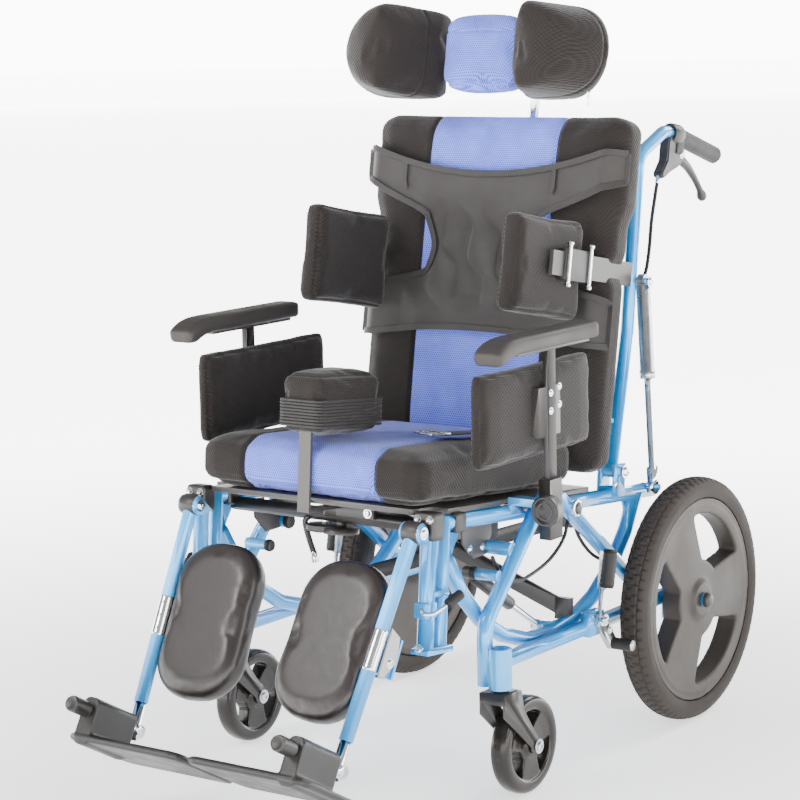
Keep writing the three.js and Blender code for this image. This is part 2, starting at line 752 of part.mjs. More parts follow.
const postBase = seatToBase(0, armSocket.u, 0);
const armY = postBase.y;
for (const [side, s] of SIDES) {
  const x = s * seat.x;
  const railTube = rod(point(x, rail.front, 0), point(x, rail.rear, 0), seat.tube);
  const receiverTube = rod(
    point(x, receiver.u, receiver.low),
    point(x, receiver.u, receiver.high),
    receiver.radius,
    shaftSides,
  );
  const frontGusset = plate(
    [
      [receiver.u, -seat.tube / 2],
      [receiver.u + gusset.length, -seat.tube / 2],
      [receiver.u + seat.tube / 2, -gusset.length * 1.6],
      [receiver.u, -gusset.length * 1.6],
    ],
    x - gusset.thick / 2,
    x + gusset.thick / 2,
  );
  const rearEndU = arcEnds.rearU;
  const rearGusset = plate(
    [
      [rearEndU - gusset.length, 0],
      [rearEndU + seat.tube, 0],
      [rearEndU - seat.tube, -gusset.length],
      [rearEndU - seat.tube * 2, -gusset.length],
    ],
    x - gusset.thick / 2,
    x + gusset.thick / 2,
  );
  const sleeve = crossRod(x - s * (seat.tube + gusset.thick), x + s * (seat.tube - gap), 0, 0, seat.tube,
    shaftSides);
  const sleeveBore = crossRod(x - seat.tube * 2, x + seat.tube * 2, 0, 0, pivot.radius + runGap,
    shaftSides);
  const cheeks = [1, -1].map((way) => {
    const inner = x + way * (hinge.eye + gap);
    return plate(
      [
        [hinge.u - hinge.width / 2, 0],
        [hinge.u + hinge.width / 2, 0],
        [hinge.u + hinge.width / 2, hinge.w + hinge.eye],
        [hinge.u - hinge.width / 2, hinge.w + hinge.eye],
      ],
      inner,
      inner + way * hinge.cheek,
    );
  });
  const saddle = box(
    x - hinge.eye - hinge.cheek,
    x + hinge.eye + hinge.cheek,
    hinge.u - hinge.width / 2,
    hinge.u + hinge.width / 2,
    0,
    seat.tube + hinge.cheek,
  );
  const bolt = crossRod(
    x - hinge.eye - hinge.cheek - hinge.headLength,
    x + hinge.eye + hinge.cheek + hinge.headLength,
    hinge.u,
    hinge.w,
    hinge.pin,
    shaftSides,
  );
  const boltHeads = [1, -1].map((way) =>
    crossRod(
      x + way * (hinge.eye + hinge.cheek),
      x + way * (hinge.eye + hinge.cheek + hinge.headLength),
      hinge.u,
      hinge.w,
      hinge.headRadius,
      shaftSides,
    ),
  );
  const strutBolt = crossRod(x, x + s * (seat.tube + strutPin.reach), strutPin.u, strutPin.w,
    strutPin.radius, shaftSides);
  const bridge = box(
    s * armSocket.webInner,
    s * (armSocket.x - armSocket.width / 2 + armSocket.grasp),
    armSocket.u - armSocket.plateLength / 2,
    armSocket.u + armSocket.plateLength / 2,
    armSocket.plateLow,
    armSocket.plateHigh,
  );
  const web = box(
    s * armSocket.webInner,
    s * (seat.x + seat.tube),
    armSocket.u - armSocket.plateLength / 2,
    armSocket.u + armSocket.plateLength / 2,
    0,
    armSocket.plateHigh,
  );
  const parts = [railTube, receiverTube, frontGusset, rearGusset, sleeve, ...cheeks, saddle, bolt,
    ...boltHeads, strutBolt, bridge, web, arcTube(x, seat.tube)];
  const tools = [sleeveBore];
  if (s > 0) {
    const lugX = springSeatInner;
    const lug = plate(
      [
        [tiltSpring.seatU - springBracket.width / 2, springSeatW + springBracket.drop],
        [tiltSpring.seatU - springBracket.width / 2, springSeatW - springBracket.drop],
        [tiltSpring.seatU + springBracket.width / 2, springSeatW - springBracket.drop],
        [tiltSpring.seatU + springBracket.width / 2, springSeatW + springBracket.drop],
      ],
      lugX,
      seat.x,
    );
    const lugPin = crossRod(
      seat.x,
      tiltSpring.x - tiltSpring.eyeWidth / 2 - gap - tiltSpring.headLength,
      tiltSpring.seatU,
      springSeatW,
      tiltSpring.pin,
      shaftSides,
    );
    const lugHead = crossRod(
      tiltSpring.x - tiltSpring.eyeWidth / 2 - gap,
      tiltSpring.x - tiltSpring.eyeWidth / 2 - gap - tiltSpring.headLength,
      tiltSpring.seatU,
      springSeatW,
      tiltSpring.headRadius,
      shaftSides,
    );
    parts.push(lug, lugPin, lugHead);
  }
  place(seatFrame, `seat_side_${side}`, cut(join(parts), ...tools), looks.paint);

  // The armrest's clamp socket stands upright, not raked with the seat.
  const socket = box(
    s * (armSocket.x - armSocket.width / 2),
    s * (armSocket.x + armSocket.width / 2),
    armY - armSocket.length / 2,
    armY + armSocket.length / 2,
    pivot.z + armSocket.low,
    pivot.z + armSocket.high + armSocket.plateHigh,
  );
  const slot = box(
    s * armSocket.x - armPost.thick / 2 - gap,
    s * armSocket.x + armPost.thick / 2 + gap,
    armY - armPost.width / 2 - gap,
    armY + armPost.width / 2 + gap,
    pivot.z + armSocket.low - over,
    pivot.z + armSocket.high + armSocket.plateHigh + over,
  );
  const bridgeRoom = new THREE.BoxGeometry(
    armSocket.x * 2 - armSocket.width + 2 * (armSocket.grasp + gap),
    armSocket.plateLength + 2 * gap,
    armSocket.plateHigh - armSocket.plateLow + 2 * gap,
  );
  bridgeRoom.translate(0, armSocket.u, (armSocket.plateHigh + armSocket.plateLow) / 2);
  seatFrame.updateMatrix();
  bridgeRoom.applyMatrix4(seatFrame.matrix);
  const knobX = s * (armSocket.x + armSocket.knobOut);
  const knobZ = pivot.z + armSocket.plateHigh;
  const knob = rod(
    point(knobX, armY - armSocket.length / 2, knobZ),
    point(knobX, armY - armSocket.length / 2 - armSocket.knobLength, knobZ),
    armSocket.knobRadius,
    shaftSides * 2,
  );
  place(chair, `armrest_socket_${side}`, cut(join([socket, knob]), slot, solid(bridgeRoom)),
    looks.black);
}

// The cross tube under the seat's front, with the clamp and the knob that hold the pommel's bar.
const seatFront = {
  u: -262,
  w: -14,
  radius: 11,
  clampHalf: 20,
  clampLength: 40,
  clampHigh: 12.6,
  discRadius: 28,
  discThick: 9,
  discDrop: 18,
  stem: 9,
};
const strap = { half: 11, thick: 5, w: 0 };
function railRoom(x) {
  return rod(point(x, rail.front, 0), point(x, rail.rear, 0), seat.tube + gap);
}
const frontEnd = seat.x - gusset.thick;
const frontTube = crossRod(-frontEnd, frontEnd, seatFront.u, seatFront.w, seatFront.radius, shaftSides);
const frontClamp = box(
  -seatFront.clampHalf,
  seatFront.clampHalf,
  seatFront.u - seatFront.clampLength / 2,
  seatFront.u + seatFront.clampLength / 2,
  seatFront.w,
  seatFront.clampHigh,
);
const clampStem = rod(
  point(0, seatFront.u, seatFront.w - seatFront.discDrop),
  point(0, seatFront.u, seatFront.w),
  seatFront.stem,
);
const clampDisc = rod(
  point(0, seatFront.u, seatFront.w - seatFront.discDrop - seatFront.discThick),
  point(0, seatFront.u, seatFront.w - seatFront.discDrop),
  seatFront.discRadius,
  shaftSides * 2,
);
const strapRoom = box(
  -strap.half - gap,
  strap.half + gap,
  seatFront.u - seatFront.clampLength,
  seatFront.u + seatFront.clampLength,
  strap.w - gap,
  strap.w + strap.thick + gap,
);
place(
  seatFrame,
  "seat_front_tube",
  cut(
    join([frontTube, frontClamp, clampStem, clampDisc]),
    strapRoom,
    railRoom(seat.x),
    railRoom(-seat.x),
  ),
  looks.steelBlack,
);

// Two crossed flat bars brace the frame behind the pivot, bolted at the middle and clamped at both ends.
const brace = {
  u: 57,
  thick: 6,
  washer: 2,
  half: 13,
  endX: 203,
  clamp: 40,
  bolt: 9,
  highW: -27,
  drop: 14,
};
const arcAtBrace = arc.w - Math.sqrt(arc.radius ** 2 - (brace.u - arc.u) ** 2);
const braceLowW = arcAtBrace + seat.tube + brace.drop;
const braceBars = [1, -1].map((s) => {
  const nearU = brace.u + s * (brace.thick + brace.washer) / 2;
  const way = Math.hypot(2 * brace.endX, brace.highW - braceLowW);
  const bar = new THREE.BoxGeometry(way, brace.thick, brace.half * 2);
  bar.rotateY(-Math.atan2(brace.highW - braceLowW, s * 2 * brace.endX));
  bar.translate(0, nearU, (brace.highW + braceLowW) / 2);
  return solid(bar);
});
const braceClamps = [1, -1].flatMap((s) =>
  [
    [-seat.tube / 2, -brace.clamp],
    [braceLowW + brace.drop, arcAtBrace + seat.tube / 2],
  ].map(([top, bottom]) =>
    box(
      s * (brace.endX - brace.thick),
      s * (seat.x + seat.tube / 2),
      brace.u - brace.thick - brace.washer,
      brace.u + brace.thick + brace.washer,
      top,
      bottom,
    ),
  ),
);
const braceBolt = rod(
  point(0, brace.u - brace.thick * 2, (brace.highW + braceLowW) / 2),
  point(0, brace.u + brace.thick * 2, (brace.highW + braceLowW) / 2),
  brace.bolt,
);
const braceRooms = [1, -1].flatMap((s) => [
  railRoom(s * seat.x),
  arcTube(s * seat.x, seat.tube + gap * 2),
]);
place(seatFrame, "cross_brace", cut(join([...braceBars, ...braceClamps, braceBolt]), ...braceRooms),
  looks.steelBlack);

// The seat pan lies on the rails. A rubber block under each side rests on the base's stub at no tilt.
const pan = { half: 219, front: -296, rear: 104, low: seat.tube + gap, thick: 8, noseHalf: 190, nose: -344 };
const buffer = { inner: 176, outer: 200, length: 48 };
const restU = (base.restY - pivot.y) * cosTilt - (base.restZ - pivot.z) * sinTilt;
const restW = (base.restY - pivot.y) * sinTilt + (base.restZ - pivot.z) * cosTilt;
const bufferLow = restW + base.stubRadius + gap;
const panSheet = box(-pan.half, pan.half, pan.front, pan.rear, pan.low, pan.low + pan.thick);
const panNose = box(-pan.noseHalf, pan.noseHalf, pan.nose, pan.front + over, pan.low, pan.low + pan.thick);
const buffers = SIDES.map(([, s]) =>
  box(s * buffer.inner, s * buffer.outer, restU - buffer.length / 2, restU + buffer.length / 2,
    bufferLow, pan.low + pan.thick / 2),
);
const clevisRooms = SIDES.map(([, s]) =>
  box(
    s * (seat.x - hinge.eye - hinge.cheek - hinge.headLength - gap),
    s * (pan.half + over),
    hinge.u - hinge.width / 2 - gap,
    hinge.u + hinge.width,
    pan.low - over,
    pan.low + pan.thick + over,
  ),
);
const webRooms = SIDES.map(([, s]) =>
  box(
    s * (pan.half - over),
    s * (pan.half + over),
    armSocket.u - armSocket.plateLength,
    armSocket.u + armSocket.plateLength,
    pan.low - over,
    pan.low + pan.thick + over,
  ),
);
place(seatFrame, "seat_pan", cut(join([panSheet, panNose, ...buffers]), ...clevisRooms, ...webRooms),
  looks.black);

// Cushions are stuffed blocks: rounded edges and a slight crown.
const seatCushion = { half: 204, front: -354, rear: 72, high: 104, round: 20, crown: 5 };
const seatCushionLow = pan.low + pan.thick + gap;
function stuffedAt(low, high, round, crown, cells) {
  const size = high.clone().sub(low);
  const form = stuffed(size, round, crown, cells);
  const middle = low.clone().add(high).divideScalar(2);
  form.translate(middle.x, middle.y, middle.z);
  return solid(form);
}
place(
  seatFrame,
  "seat_cushion",
  stuffedAt(
    point(-seatCushion.half, seatCushion.front, seatCushionLow),
    point(seatCushion.half, seatCushion.rear, seatCushion.high),
    seatCushion.round,
    point(0, 0, seatCushion.crown),
    [6, 7, 3],
  ).intersect(
    box(-pan.half, pan.half, seatCushion.front, pan.rear, seatCushionLow, seatCushion.high * 2),
  ),
  looks.mesh,
);

// The pommel: a flat steel bar from the clamp, round the cushion's front, to a pad between the thighs.
const pommel = {
  low: 116,
  high: 213,
  front: -372,
  rear: -240,
  frontHalf: 36,
  rearHalf: 54,
  edge: 14,
  barRear: -236,
};
const strapU = seatCushion.front - gap - strap.thick;
const strapShape = [
  [pommel.barRear, strap.w],
  [pommel.barRear, strap.w + strap.thick],
  [strapU + strap.thick, strap.w + strap.thick],
  [strapU + strap.thick, pommel.low + strap.thick * 2],
  [strapU, pommel.low + strap.thick * 2],
  [strapU, strap.w],
];
place(seatFrame, "pommel_bar", plate(strapShape, -strap.half, strap.half), looks.chrome);
const pommelShape = new THREE.Shape([
  new THREE.Vector2(-pommel.frontHalf, pommel.front),
  new THREE.Vector2(pommel.frontHalf, pommel.front),
  new THREE.Vector2(pommel.rearHalf, pommel.rear),
  new THREE.Vector2(-pommel.rearHalf, pommel.rear),
]);
const pommelForm = new THREE.ExtrudeGeometry(pommelShape, {
  depth: pommel.high - pommel.low - 2 * pommel.edge,
  bevelThickness: pommel.edge,
  bevelSize: pommel.edge,
  bevelOffset: -pommel.edge,
  bevelSegments: 2,
});
pommelForm.translate(0, 0, pommel.low + pommel.edge);
const pommelRoom = box(
  -strap.half - gap,
  strap.half + gap,
  strapU - gap,
  strapU + strap.thick + gap,
  strap.w,
  pommel.low + strap.thick * 2 + gap,
);
place(seatFrame, "pommel_pad", cut(solid(pommelForm), pommelRoom), looks.mesh);

// Armrests: a flat post in each socket, a drop-nosed pad on its top plate and a hip pad inside it.
const armPad = {
  half: 25,
  rear: -82,
  front: -364,
  high: 708,
  thick: 20,
  noseStart: -302,
  noseHigh: 689,
  noseLow: 671,
  edge: 8,
};
const armTop = { front: -290, rear: -90, half: 9, thick: 5 };
const hipPad = {
  outer: 275,
  inner: 240,
  front: -350,
  rear: -38,
  low: 510,
  high: 655,
  round: 14,
  plateLow: 545,
  plateHigh: 620,
  plateLength: 60,
};
for (const [side, s] of SIDES) {
  const x = s * armSocket.x;
  const stem = box(
    x - armPost.thick / 2,
    x + armPost.thick / 2,
    armY - armPost.width / 2,
    armY + armPost.width / 2,
    armPost.low,
    armPost.high,
  );
  const top = box(x - armTop.half, x + armTop.half, armTop.front, armTop.rear,
    armPost.high - armTop.thick, armPost.high);
  const hipPlate = box(
    s * (hipPad.outer + gap),
    x,
    armY - hipPad.plateLength / 2,
    armY + hipPad.plateLength / 2,
    hipPad.plateLow,
    hipPad.plateHigh,
  );
  place(chair, `armrest_post_${side}`, join([stem, top, hipPlate]), looks.steelBlack);
  const padLow = armPost.high + gap;
  const outline = new THREE.Shape();
  outline.moveTo(armPad.rear, padLow);
  outline.lineTo(armPad.rear, armPad.high);
  outline.lineTo(armPad.noseStart, armPad.high);
  outline.quadraticCurveTo(armPad.front + armPad.thick, armPad.high, armPad.front, armPad.noseHigh);
  outline.lineTo(armPad.front + armPad.edge / 2, armPad.noseLow);
  outline.lineTo(armPad.front + armPad.thick, armPad.noseLow);
  outline.quadraticCurveTo(armPad.front + 2 * armPad.thick, padLow, armPad.noseStart, padLow);
  place(chair, `armrest_pad_${side}`, plate(outline, x - armPad.half, x + armPad.half, armPad.edge),
    looks.armPad);
  place(
    chair,
    `hip_pad_${side}`,
    stuffedAt(
      point(Math.min(s * hipPad.inner, s * hipPad.outer), hipPad.front, hipPad.low),
      point(Math.max(s * hipPad.inner, s * hipPad.outer), hipPad.rear, hipPad.high),
      hipPad.round,
      point(0, 0, 0),
      [2, 4, 4],
    ),
    looks.mesh,
  );
}

// The back turns on the seat's clevises. In its group Y is t, back from the posts, and Z is v, up them.
const backLean = THREE.MathUtils.degToRad(5.3);
const backFrame = new THREE.Group();
backFrame.position.set(0, hinge.u, hinge.w);
backFrame.rotation.x = -backLean;
seatFrame.add(backFrame);
const back = {
  tube: 11,
  bowT: 13,
  bowV: 232,
  topT: 2,
  topV: 512,
  shoulderT: 78,
  handleV: 561,
  handleEndT: 106,
  bend: 30,
  plateFront: -15.5,
  plateRear: -3,
  plateHalf: 196,
  plateLow: 34,
  plateHigh: 500,
  barLow: 80,
  barHigh: 470,
  barRadius: 9,
};
const backCushion = {
  half: 230,
  rear: back.plateFront - gap,
  thick: 84,
  low: -10,
  high: 568,
  round: 36,
  crown: 7,
};
const strutTop = { v: 310, t: 12, reach: 34 };
const sideArm = { inner: 218.5, thick: 5, low: 300, high: 336, front: -245 };
const grip = { radius: 15, length: 150, drop: 18 };
const stemHole = { radius: 8, blockHalf: 20, blockDepth: 26, low: 452, high: 500, t: 16 };
function postPath(x) {
  return bentStations(
    [
      point(x, 0, 0),
      point(x, back.bowT, back.bowV),
      point(x, back.topT, back.topV),
      point(x, back.shoulderT, back.handleV),
      point(x, back.handleEndT, back.handleV),
    ],
    back.bend,
  );
}
const backPieces = SIDES.flatMap(([, s]) => {
  const x = s * seat.x;
  const eye = crossRod(x - hinge.eye, x + hinge.eye, 0, 0, hinge.eye, shaftSides);
  const pin = crossRod(x, s * (seat.x + strutTop.reach), strutTop.t, strutTop.v, strutPin.radius,
    shaftSides);
  const arm = box(
    s * sideArm.inner,
    s * (sideArm.inner + sideArm.thick),
    sideArm.front,
    back.bowT,
    sideArm.low,
    sideArm.high,
  );
  return [sweep(postPath(x), back.tube), eye, pin, arm];
});
const backBars = [back.barLow, back.barHigh].map((v) =>
  crossRod(-seat.x, seat.x, back.plateRear + back.barRadius / 2, v, back.barRadius),
);
const backPlate = box(-back.plateHalf, back.plateHalf, back.plateFront, back.plateRear, back.plateLow,
  back.plateHigh);
const stemBlock = box(
  -stemHole.blockHalf,
  stemHole.blockHalf,
  back.plateRear - over,
  stemHole.t + stemHole.blockDepth / 2,
  stemHole.low,
  stemHole.high,
);
const stemBore = rod(
  point(0, stemHole.t, stemHole.low - over),
  point(0, stemHole.t, stemHole.high + over),
  stemHole.radius + gap,
  shaftSides,
);
const hingeBores = SIDES.map(([, s]) =>
  crossRod(s * (seat.x - hinge.eye - over), s * (seat.x + hinge.eye + over), 0, 0, hinge.pin + runGap,
    shaftSides),
);
place(backFrame, "back_frame", cut(join([...backPieces, ...backBars, backPlate, stemBlock]), stemBore,
  ...hingeBores), looks.paint);
const backForm = stuffedAt(
  point(-backCushion.half, backCushion.rear - backCushion.thick, backCushion.low),
  point(backCushion.half, backCushion.rear, backCushion.high),
  backCushion.round,
  point(0, backCushion.crown, 0),
  [6, 3, 8],
).intersect(
  box(
    -backCushion.half,
    backCushion.half,
    backCushion.rear - 2 * backCushion.thick,
    backCushion.rear,
    backCushion.low,
    backCushion.high,
  ),
);
const sideArmRooms = SIDES.map(([, s]) =>
  box(
    s * (sideArm.inner - gap),
    s * (backCushion.half + over),
    backCushion.rear - 2 * backCushion.thick,
    backCushion.rear + over,
    sideArm.low - over,
    sideArm.high + over,
  ),
);
place(backFrame, "back_cushion", cut(backForm, ...sideArmRooms), looks.mesh);

// The chest harness: a curved band over a bib, both of one cloth, lying on the cushion's front.
const harness = {
  thick: 7,
  bandHalf: 206,
  bandHigh: 500,
  bandDip: 466,
  bandLow: 420,
  waistHalf: 62,
  waistV: 340,
  hemHalf: 84,
  hemV: 262,
};
const harnessShape = new THREE.Shape();
harnessShape.moveTo(-harness.bandHalf, harness.bandHigh);
harnessShape.quadraticCurveTo(0, 2 * harness.bandDip - harness.bandHigh, harness.bandHalf,
  harness.bandHigh);
harnessShape.lineTo(harness.bandHalf, harness.bandHigh - (harness.bandDip - harness.bandLow));
harnessShape.quadraticCurveTo(harness.hemHalf, harness.bandLow, harness.waistHalf, harness.waistV);
harnessShape.lineTo(harness.hemHalf, harness.hemV);
harnessShape.lineTo(-harness.hemHalf, harness.hemV);
harnessShape.lineTo(-harness.waistHalf, harness.waistV);
harnessShape.quadraticCurveTo(-harness.hemHalf, harness.bandLow, -harness.bandHalf,
  harness.bandHigh - (harness.bandDip - harness.bandLow));
const harnessForm = new THREE.ExtrudeGeometry(harnessShape, {
  depth: harness.thick,
  bevelEnabled: false,
  curveSegments: 6,
});
harnessForm.rotateX(Math.PI / 2);
const harnessRear = backCushion.rear - backCushion.thick - backCushion.crown - gap;
harnessForm.translate(0, harnessRear, 0);
place(backFrame, "chest_harness", solid(harnessForm), looks.harness);

// Push grips with the release lever's housing, and the levers under them.
const lever = { pivotT: 120, pivotDrop: 24, half: 9, pin: 3, tipT: 268, tipDrop: 78, thick: 9, cheek: 3 };
for (const [side, s] of SIDES) {
  const x = s * seat.x;
  const gripT = back.handleEndT + gap + (grip.radius * grip.drop) / grip.length;
  const start = point(x, gripT, back.handleV);
  const end = point(x, gripT + grip.length, back.handleV - grip.drop);
  const rubber = rod(start, end, grip.radius, shaftSides);
  const pivotV = back.handleV - lever.pivotDrop;
  const housingBody = box(x - lever.half - lever.cheek, x + lever.half + lever.cheek,
    lever.pivotT - lever.half * 1.4, lever.pivotT + lever.half, pivotV - lever.half, back.handleV);
  const leverRoom = box(x - lever.half / 2 - gap, x + lever.half / 2 + gap, lever.pivotT - lever.half,
    lever.pivotT + lever.half + over, pivotV - lever.half - over, back.handleV - grip.radius);
  const leverPin = crossRod(x - lever.half, x + lever.half, lever.pivotT, pivotV, lever.pin, shaftSides);
  place(backFrame, `push_grip_${side}`, join([cut(join([housingBody, rubber]), leverRoom), leverPin]),
    looks.black);
  const blade = plate(
    [
      [lever.pivotT - lever.thick / 2, pivotV + lever.thick / 2],
      [lever.pivotT + lever.thick, pivotV + lever.thick / 2],
      [lever.tipT, back.handleV - lever.tipDrop + lever.thick],
      [lever.tipT, back.handleV - lever.tipDrop],
      [lever.pivotT + lever.thick, pivotV - lever.thick],
      [lever.pivotT - lever.thick / 2, pivotV - lever.thick / 2],
    ],
    x - lever.half / 2,
    x + lever.half / 2,
  );
  const bladeBore = crossRod(x - lever.half, x + lever.half, lever.pivotT, pivotV, lever.pin + runGap,
    shaftSides);
  place(backFrame, `release_lever_${side}`, cut(blade, bladeBore), looks.steelBlack);
}

// Lateral pads slide along the back's side arms on a sleeve.
const lateral = {
  inner: 168,
  outer: 211,
  front: -325,
  rear: -121,
  low: 233,
  high: 390,
  round: 14,
  sleeveFront: -215,
  sleeveRear: -140,
  wall: 5,
};
for (const [side, s] of SIDES) {
  const pad = stuffedAt(
    point(Math.min(s * lateral.inner, s * lateral.outer), lateral.front, lateral.low),
    point(Math.max(s * lateral.inner, s * lateral.outer), lateral.rear, lateral.high),
    lateral.round,
    point(0, 0, 0),
    [2, 4, 4],
  );
  const sleeve = box(
    s * (lateral.outer - over),
    s * (sideArm.inner + sideArm.thick + lateral.wall),
    lateral.sleeveFront,
    lateral.sleeveRear,
    sideArm.low - lateral.wall,
    sideArm.high + lateral.wall,
  );
  const slot = box(
    s * (sideArm.inner - gap),
    s * (sideArm.inner + sideArm.thick + gap),
    sideArm.front - over,
    lateral.rear,
    sideArm.low - gap,
    sideArm.high + gap,
  );
  place(backFrame, `lateral_pad_${side}`, cut(join([pad, sleeve]), slot), looks.mesh);
}

// The headrest: a cranked stem in the back's block, a middle pad and two wings hinged on it.
const head = {
  stemLow: 400,
  crankRise: 78,
  bend: 26,
  padFront: -170,
  padRear: -112,
  padHalf: 76,
  padBelow: 54,
  padAbove: 75,
  edge: 14,
  plateThick: 5,
  hingeT: -106,
  hingeX: 88,
  hingeRadius: 6,
  wingBelow: 66,
  wingAbove: 82,
  wingOuter: 248,
  wingFront: -262,
  wingRear: -176,
  wingNear: 130,
  wingEdge: 20,
};
const crankV = backCushion.high + head.crankRise;
const stemPath = bentStations(
  [
    point(0, stemHole.t, head.stemLow),
    point(0, stemHole.t, crankV),
    point(0, head.padRear + head.plateThick, crankV),
  ],
  head.bend,
);
const headPlate = box(
  -head.hingeX,
  head.hingeX,
  head.padRear + gap,
  head.padRear + gap + head.plateThick,
  crankV - head.edge,
  crankV + head.edge,
);
const headPins = SIDES.map(([, s]) =>
  rod(
    point(s * head.hingeX, head.hingeT, crankV - head.edge * 2),
    point(s * head.hingeX, head.hingeT, crankV + head.edge * 2),
    head.hingeRadius / 2,
    shaftSides,
  ),
);
place(backFrame, "headrest_stem", join([sweep(stemPath, stemHole.radius, shaftSides), headPlate,
  ...headPins]), looks.chrome);
const headShape = roundedShape(2 * head.padHalf, head.padAbove + head.padBelow, head.edge * 2);
const headForm = new THREE.ExtrudeGeometry(headShape, {
  depth: head.padRear - head.padFront - 2 * head.edge,
  bevelThickness: head.edge,
  bevelSize: head.edge,
  bevelOffset: -head.edge,
  bevelSegments: 2,
  curveSegments: 2,
});
headForm.rotateX(Math.PI / 2);
headForm.translate(0, head.padRear - head.edge, crankV + (head.padAbove - head.padBelow) / 2);
place(backFrame, "head_pad", solid(headForm), looks.blueMesh);
for (const [side, s] of SIDES) {
  const outline = new THREE.Shape();
  outline.moveTo(s * (head.padHalf + gap * 4), head.padFront + head.edge);
  outline.lineTo(s * head.wingNear, head.wingFront);
  outline.quadraticCurveTo(s * (head.wingOuter - head.wingEdge), head.wingFront + head.wingEdge / 2,
    s * head.wingOuter, head.wingRear);
  outline.quadraticCurveTo(s * head.wingOuter, head.wingRear + head.edge, s * head.wingNear,
    head.padRear - head.edge);
  outline.lineTo(s * (head.padHalf + gap * 4), head.padRear - head.edge);
  const form = new THREE.ExtrudeGeometry(outline, {
    depth: head.wingAbove + head.wingBelow - 2 * head.wingEdge,
    bevelThickness: head.wingEdge,
    bevelSize: head.wingEdge / 2,
    bevelOffset: -head.wingEdge / 2,
    bevelSegments: 2,
    curveSegments: 4,
  });
  form.translate(0, 0, crankV - head.wingBelow + head.wingEdge);
  const knuckle = [1, -1].map((way) =>
    rod(
      point(s * head.hingeX, head.hingeT, crankV + way * (head.edge + gap)),
      point(s * head.hingeX, head.hingeT, crankV + way * head.edge * 2),
      head.hingeRadius,
      shaftSides,
    ).add(
      box(
        s * (head.hingeX - head.hingeRadius / 2),
        s * (head.hingeX + head.hingeRadius),
        head.hingeT,
        head.padRear - head.edge * 2,
        crankV + way * (head.edge + gap),
        crankV + way * head.edge * 2,
      ),
    ),
  );
  const pinRoom = rod(
    point(s * head.hingeX, head.hingeT, crankV - head.edge * 3),
    point(s * head.hingeX, head.hingeT, crankV + head.edge * 3),
    head.hingeRadius / 2 + runGap,
    shaftSides,
  );
  place(backFrame, `head_wing_${side}`, cut(join([solid(form), ...knuckle]), pinRoom), looks.leather);
}

// Recline struts: a barrel pinned to the post, and a rod whose cast foot goes round a pin on the rail.
const recline = {
  x: 237,
  half: 6,
  eye: 11,
  barrel: 11.5,
  rod: 6,
  barrelLength: 150,
  collarLength: 12,
  footSlack: 2.6,
  footRadius: 13,
  footLength: 34,
};
const lowPin = point(0, strutPin.u - hinge.u, strutPin.w - hinge.w)
  .applyAxisAngle(point(1, 0, 0), backLean);
for (const [side, s] of SIDES) {
  const top = point(s * recline.x, strutTop.t, strutTop.v);
  const foot = point(s * recline.x, lowPin.y, lowPin.z);
  const way = foot.clone().sub(top).normalize();
  const length = foot.distanceTo(top);
  const at = (distance) => top.clone().addScaledVector(way, distance);
  const eye = crossRod(top.x - recline.half, top.x + recline.half, top.y, top.z, recline.eye, shaftSides);
  const eyeHole = crossRod(top.x - recline.half - over, top.x + recline.half + over, top.y, top.z,
    strutPin.radius + runGap, shaftSides);
  const tube = rod(at(recline.eye / 2), at(recline.eye + recline.barrelLength), recline.barrel, shaftSides);
  const collar = rod(at(recline.eye + recline.barrelLength - recline.collarLength),
    at(recline.eye + recline.barrelLength), recline.barrel + gap * 5, shaftSides);
  const bore = rod(at(recline.eye * 2), at(recline.eye + recline.barrelLength + over),
    recline.rod + runGap);
  place(backFrame, `recline_barrel_${side}`, cut(join([eye, tube, collar]), eyeHole, bore),
    looks.steelBlack);
  const inner = rod(at(length - recline.barrelLength - recline.footLength * 2), at(length - recline.eye),
    recline.rod);
  const casting = rod(at(length - recline.footLength), at(length), recline.footRadius * 0.8, shaftSides);
  const footEye = crossRod(foot.x - recline.half, foot.x + recline.half, foot.y, foot.z,
    recline.footRadius, shaftSides);
  const footHole = crossRod(foot.x - recline.footRadius - over, foot.x + recline.footRadius + over,
    foot.y, foot.z, strutPin.radius + recline.footSlack, shaftSides);
  const trims = [1, -1].map((turn) =>
    box(
      foot.x + turn * recline.half,
      foot.x + turn * recline.footRadius * 2,
      foot.y - recline.footLength,
      foot.y + recline.footLength,
      foot.z - recline.footLength,
      foot.z + recline.footLength * 1.4,
    ),
  );
  place(backFrame, `recline_rod_${side}`, cut(join([inner, cut(join([casting, footEye]), ...trims)]),
    footHole), looks.chrome);
}

// Leg supports: a hanger that swings on the receiver, a leg that lifts on it, and a sliding foot.
const hanger = {
  u: -338,
  radius: 12.5,
  high: 4,
  low: -176,
  plateThick: 8,
  plateHalf: 15,
  midW: -100,
  pivotU: -368,
  pivotW: -8,
  cheek: 4,
  pin: 5,
  capHigh: 18,
};
const leg = {
  inset: 6,
  radius: 11,
  lean: THREE.MathUtils.degToRad(24.2),
  inward: THREE.MathUtils.degToRad(3),
  length: 316,
  inner: 8.5,
  boreDepth: 170,
  slideIn: 120,
  slideOut: 42,
};
const calf = {
  halfWidth: 78,
  length: 244,
  along: 178,
  back: -43,
  thick: 50,
  x: 116,
  corner: 68,
  edge: 16,
  plateThick: 5,
  armLow: 150,
  armHigh: 210,
};
const foot = {
  knuckle: 12,
  knuckleHalf: 14,
  tubeBelow: 16,
  blockFront: 110,
  blockHalf: 15,
  blockAbove: 21,
  blockRound: 11,
  knobFront: 148,
  knob: 11,
  plateDrop: 40,
  plateThick: 12,
  plateFront: 112,
  plateRear: -46,
  inner: 5,
  outer: 221,
  edge: 4,
  corner: 20,
};
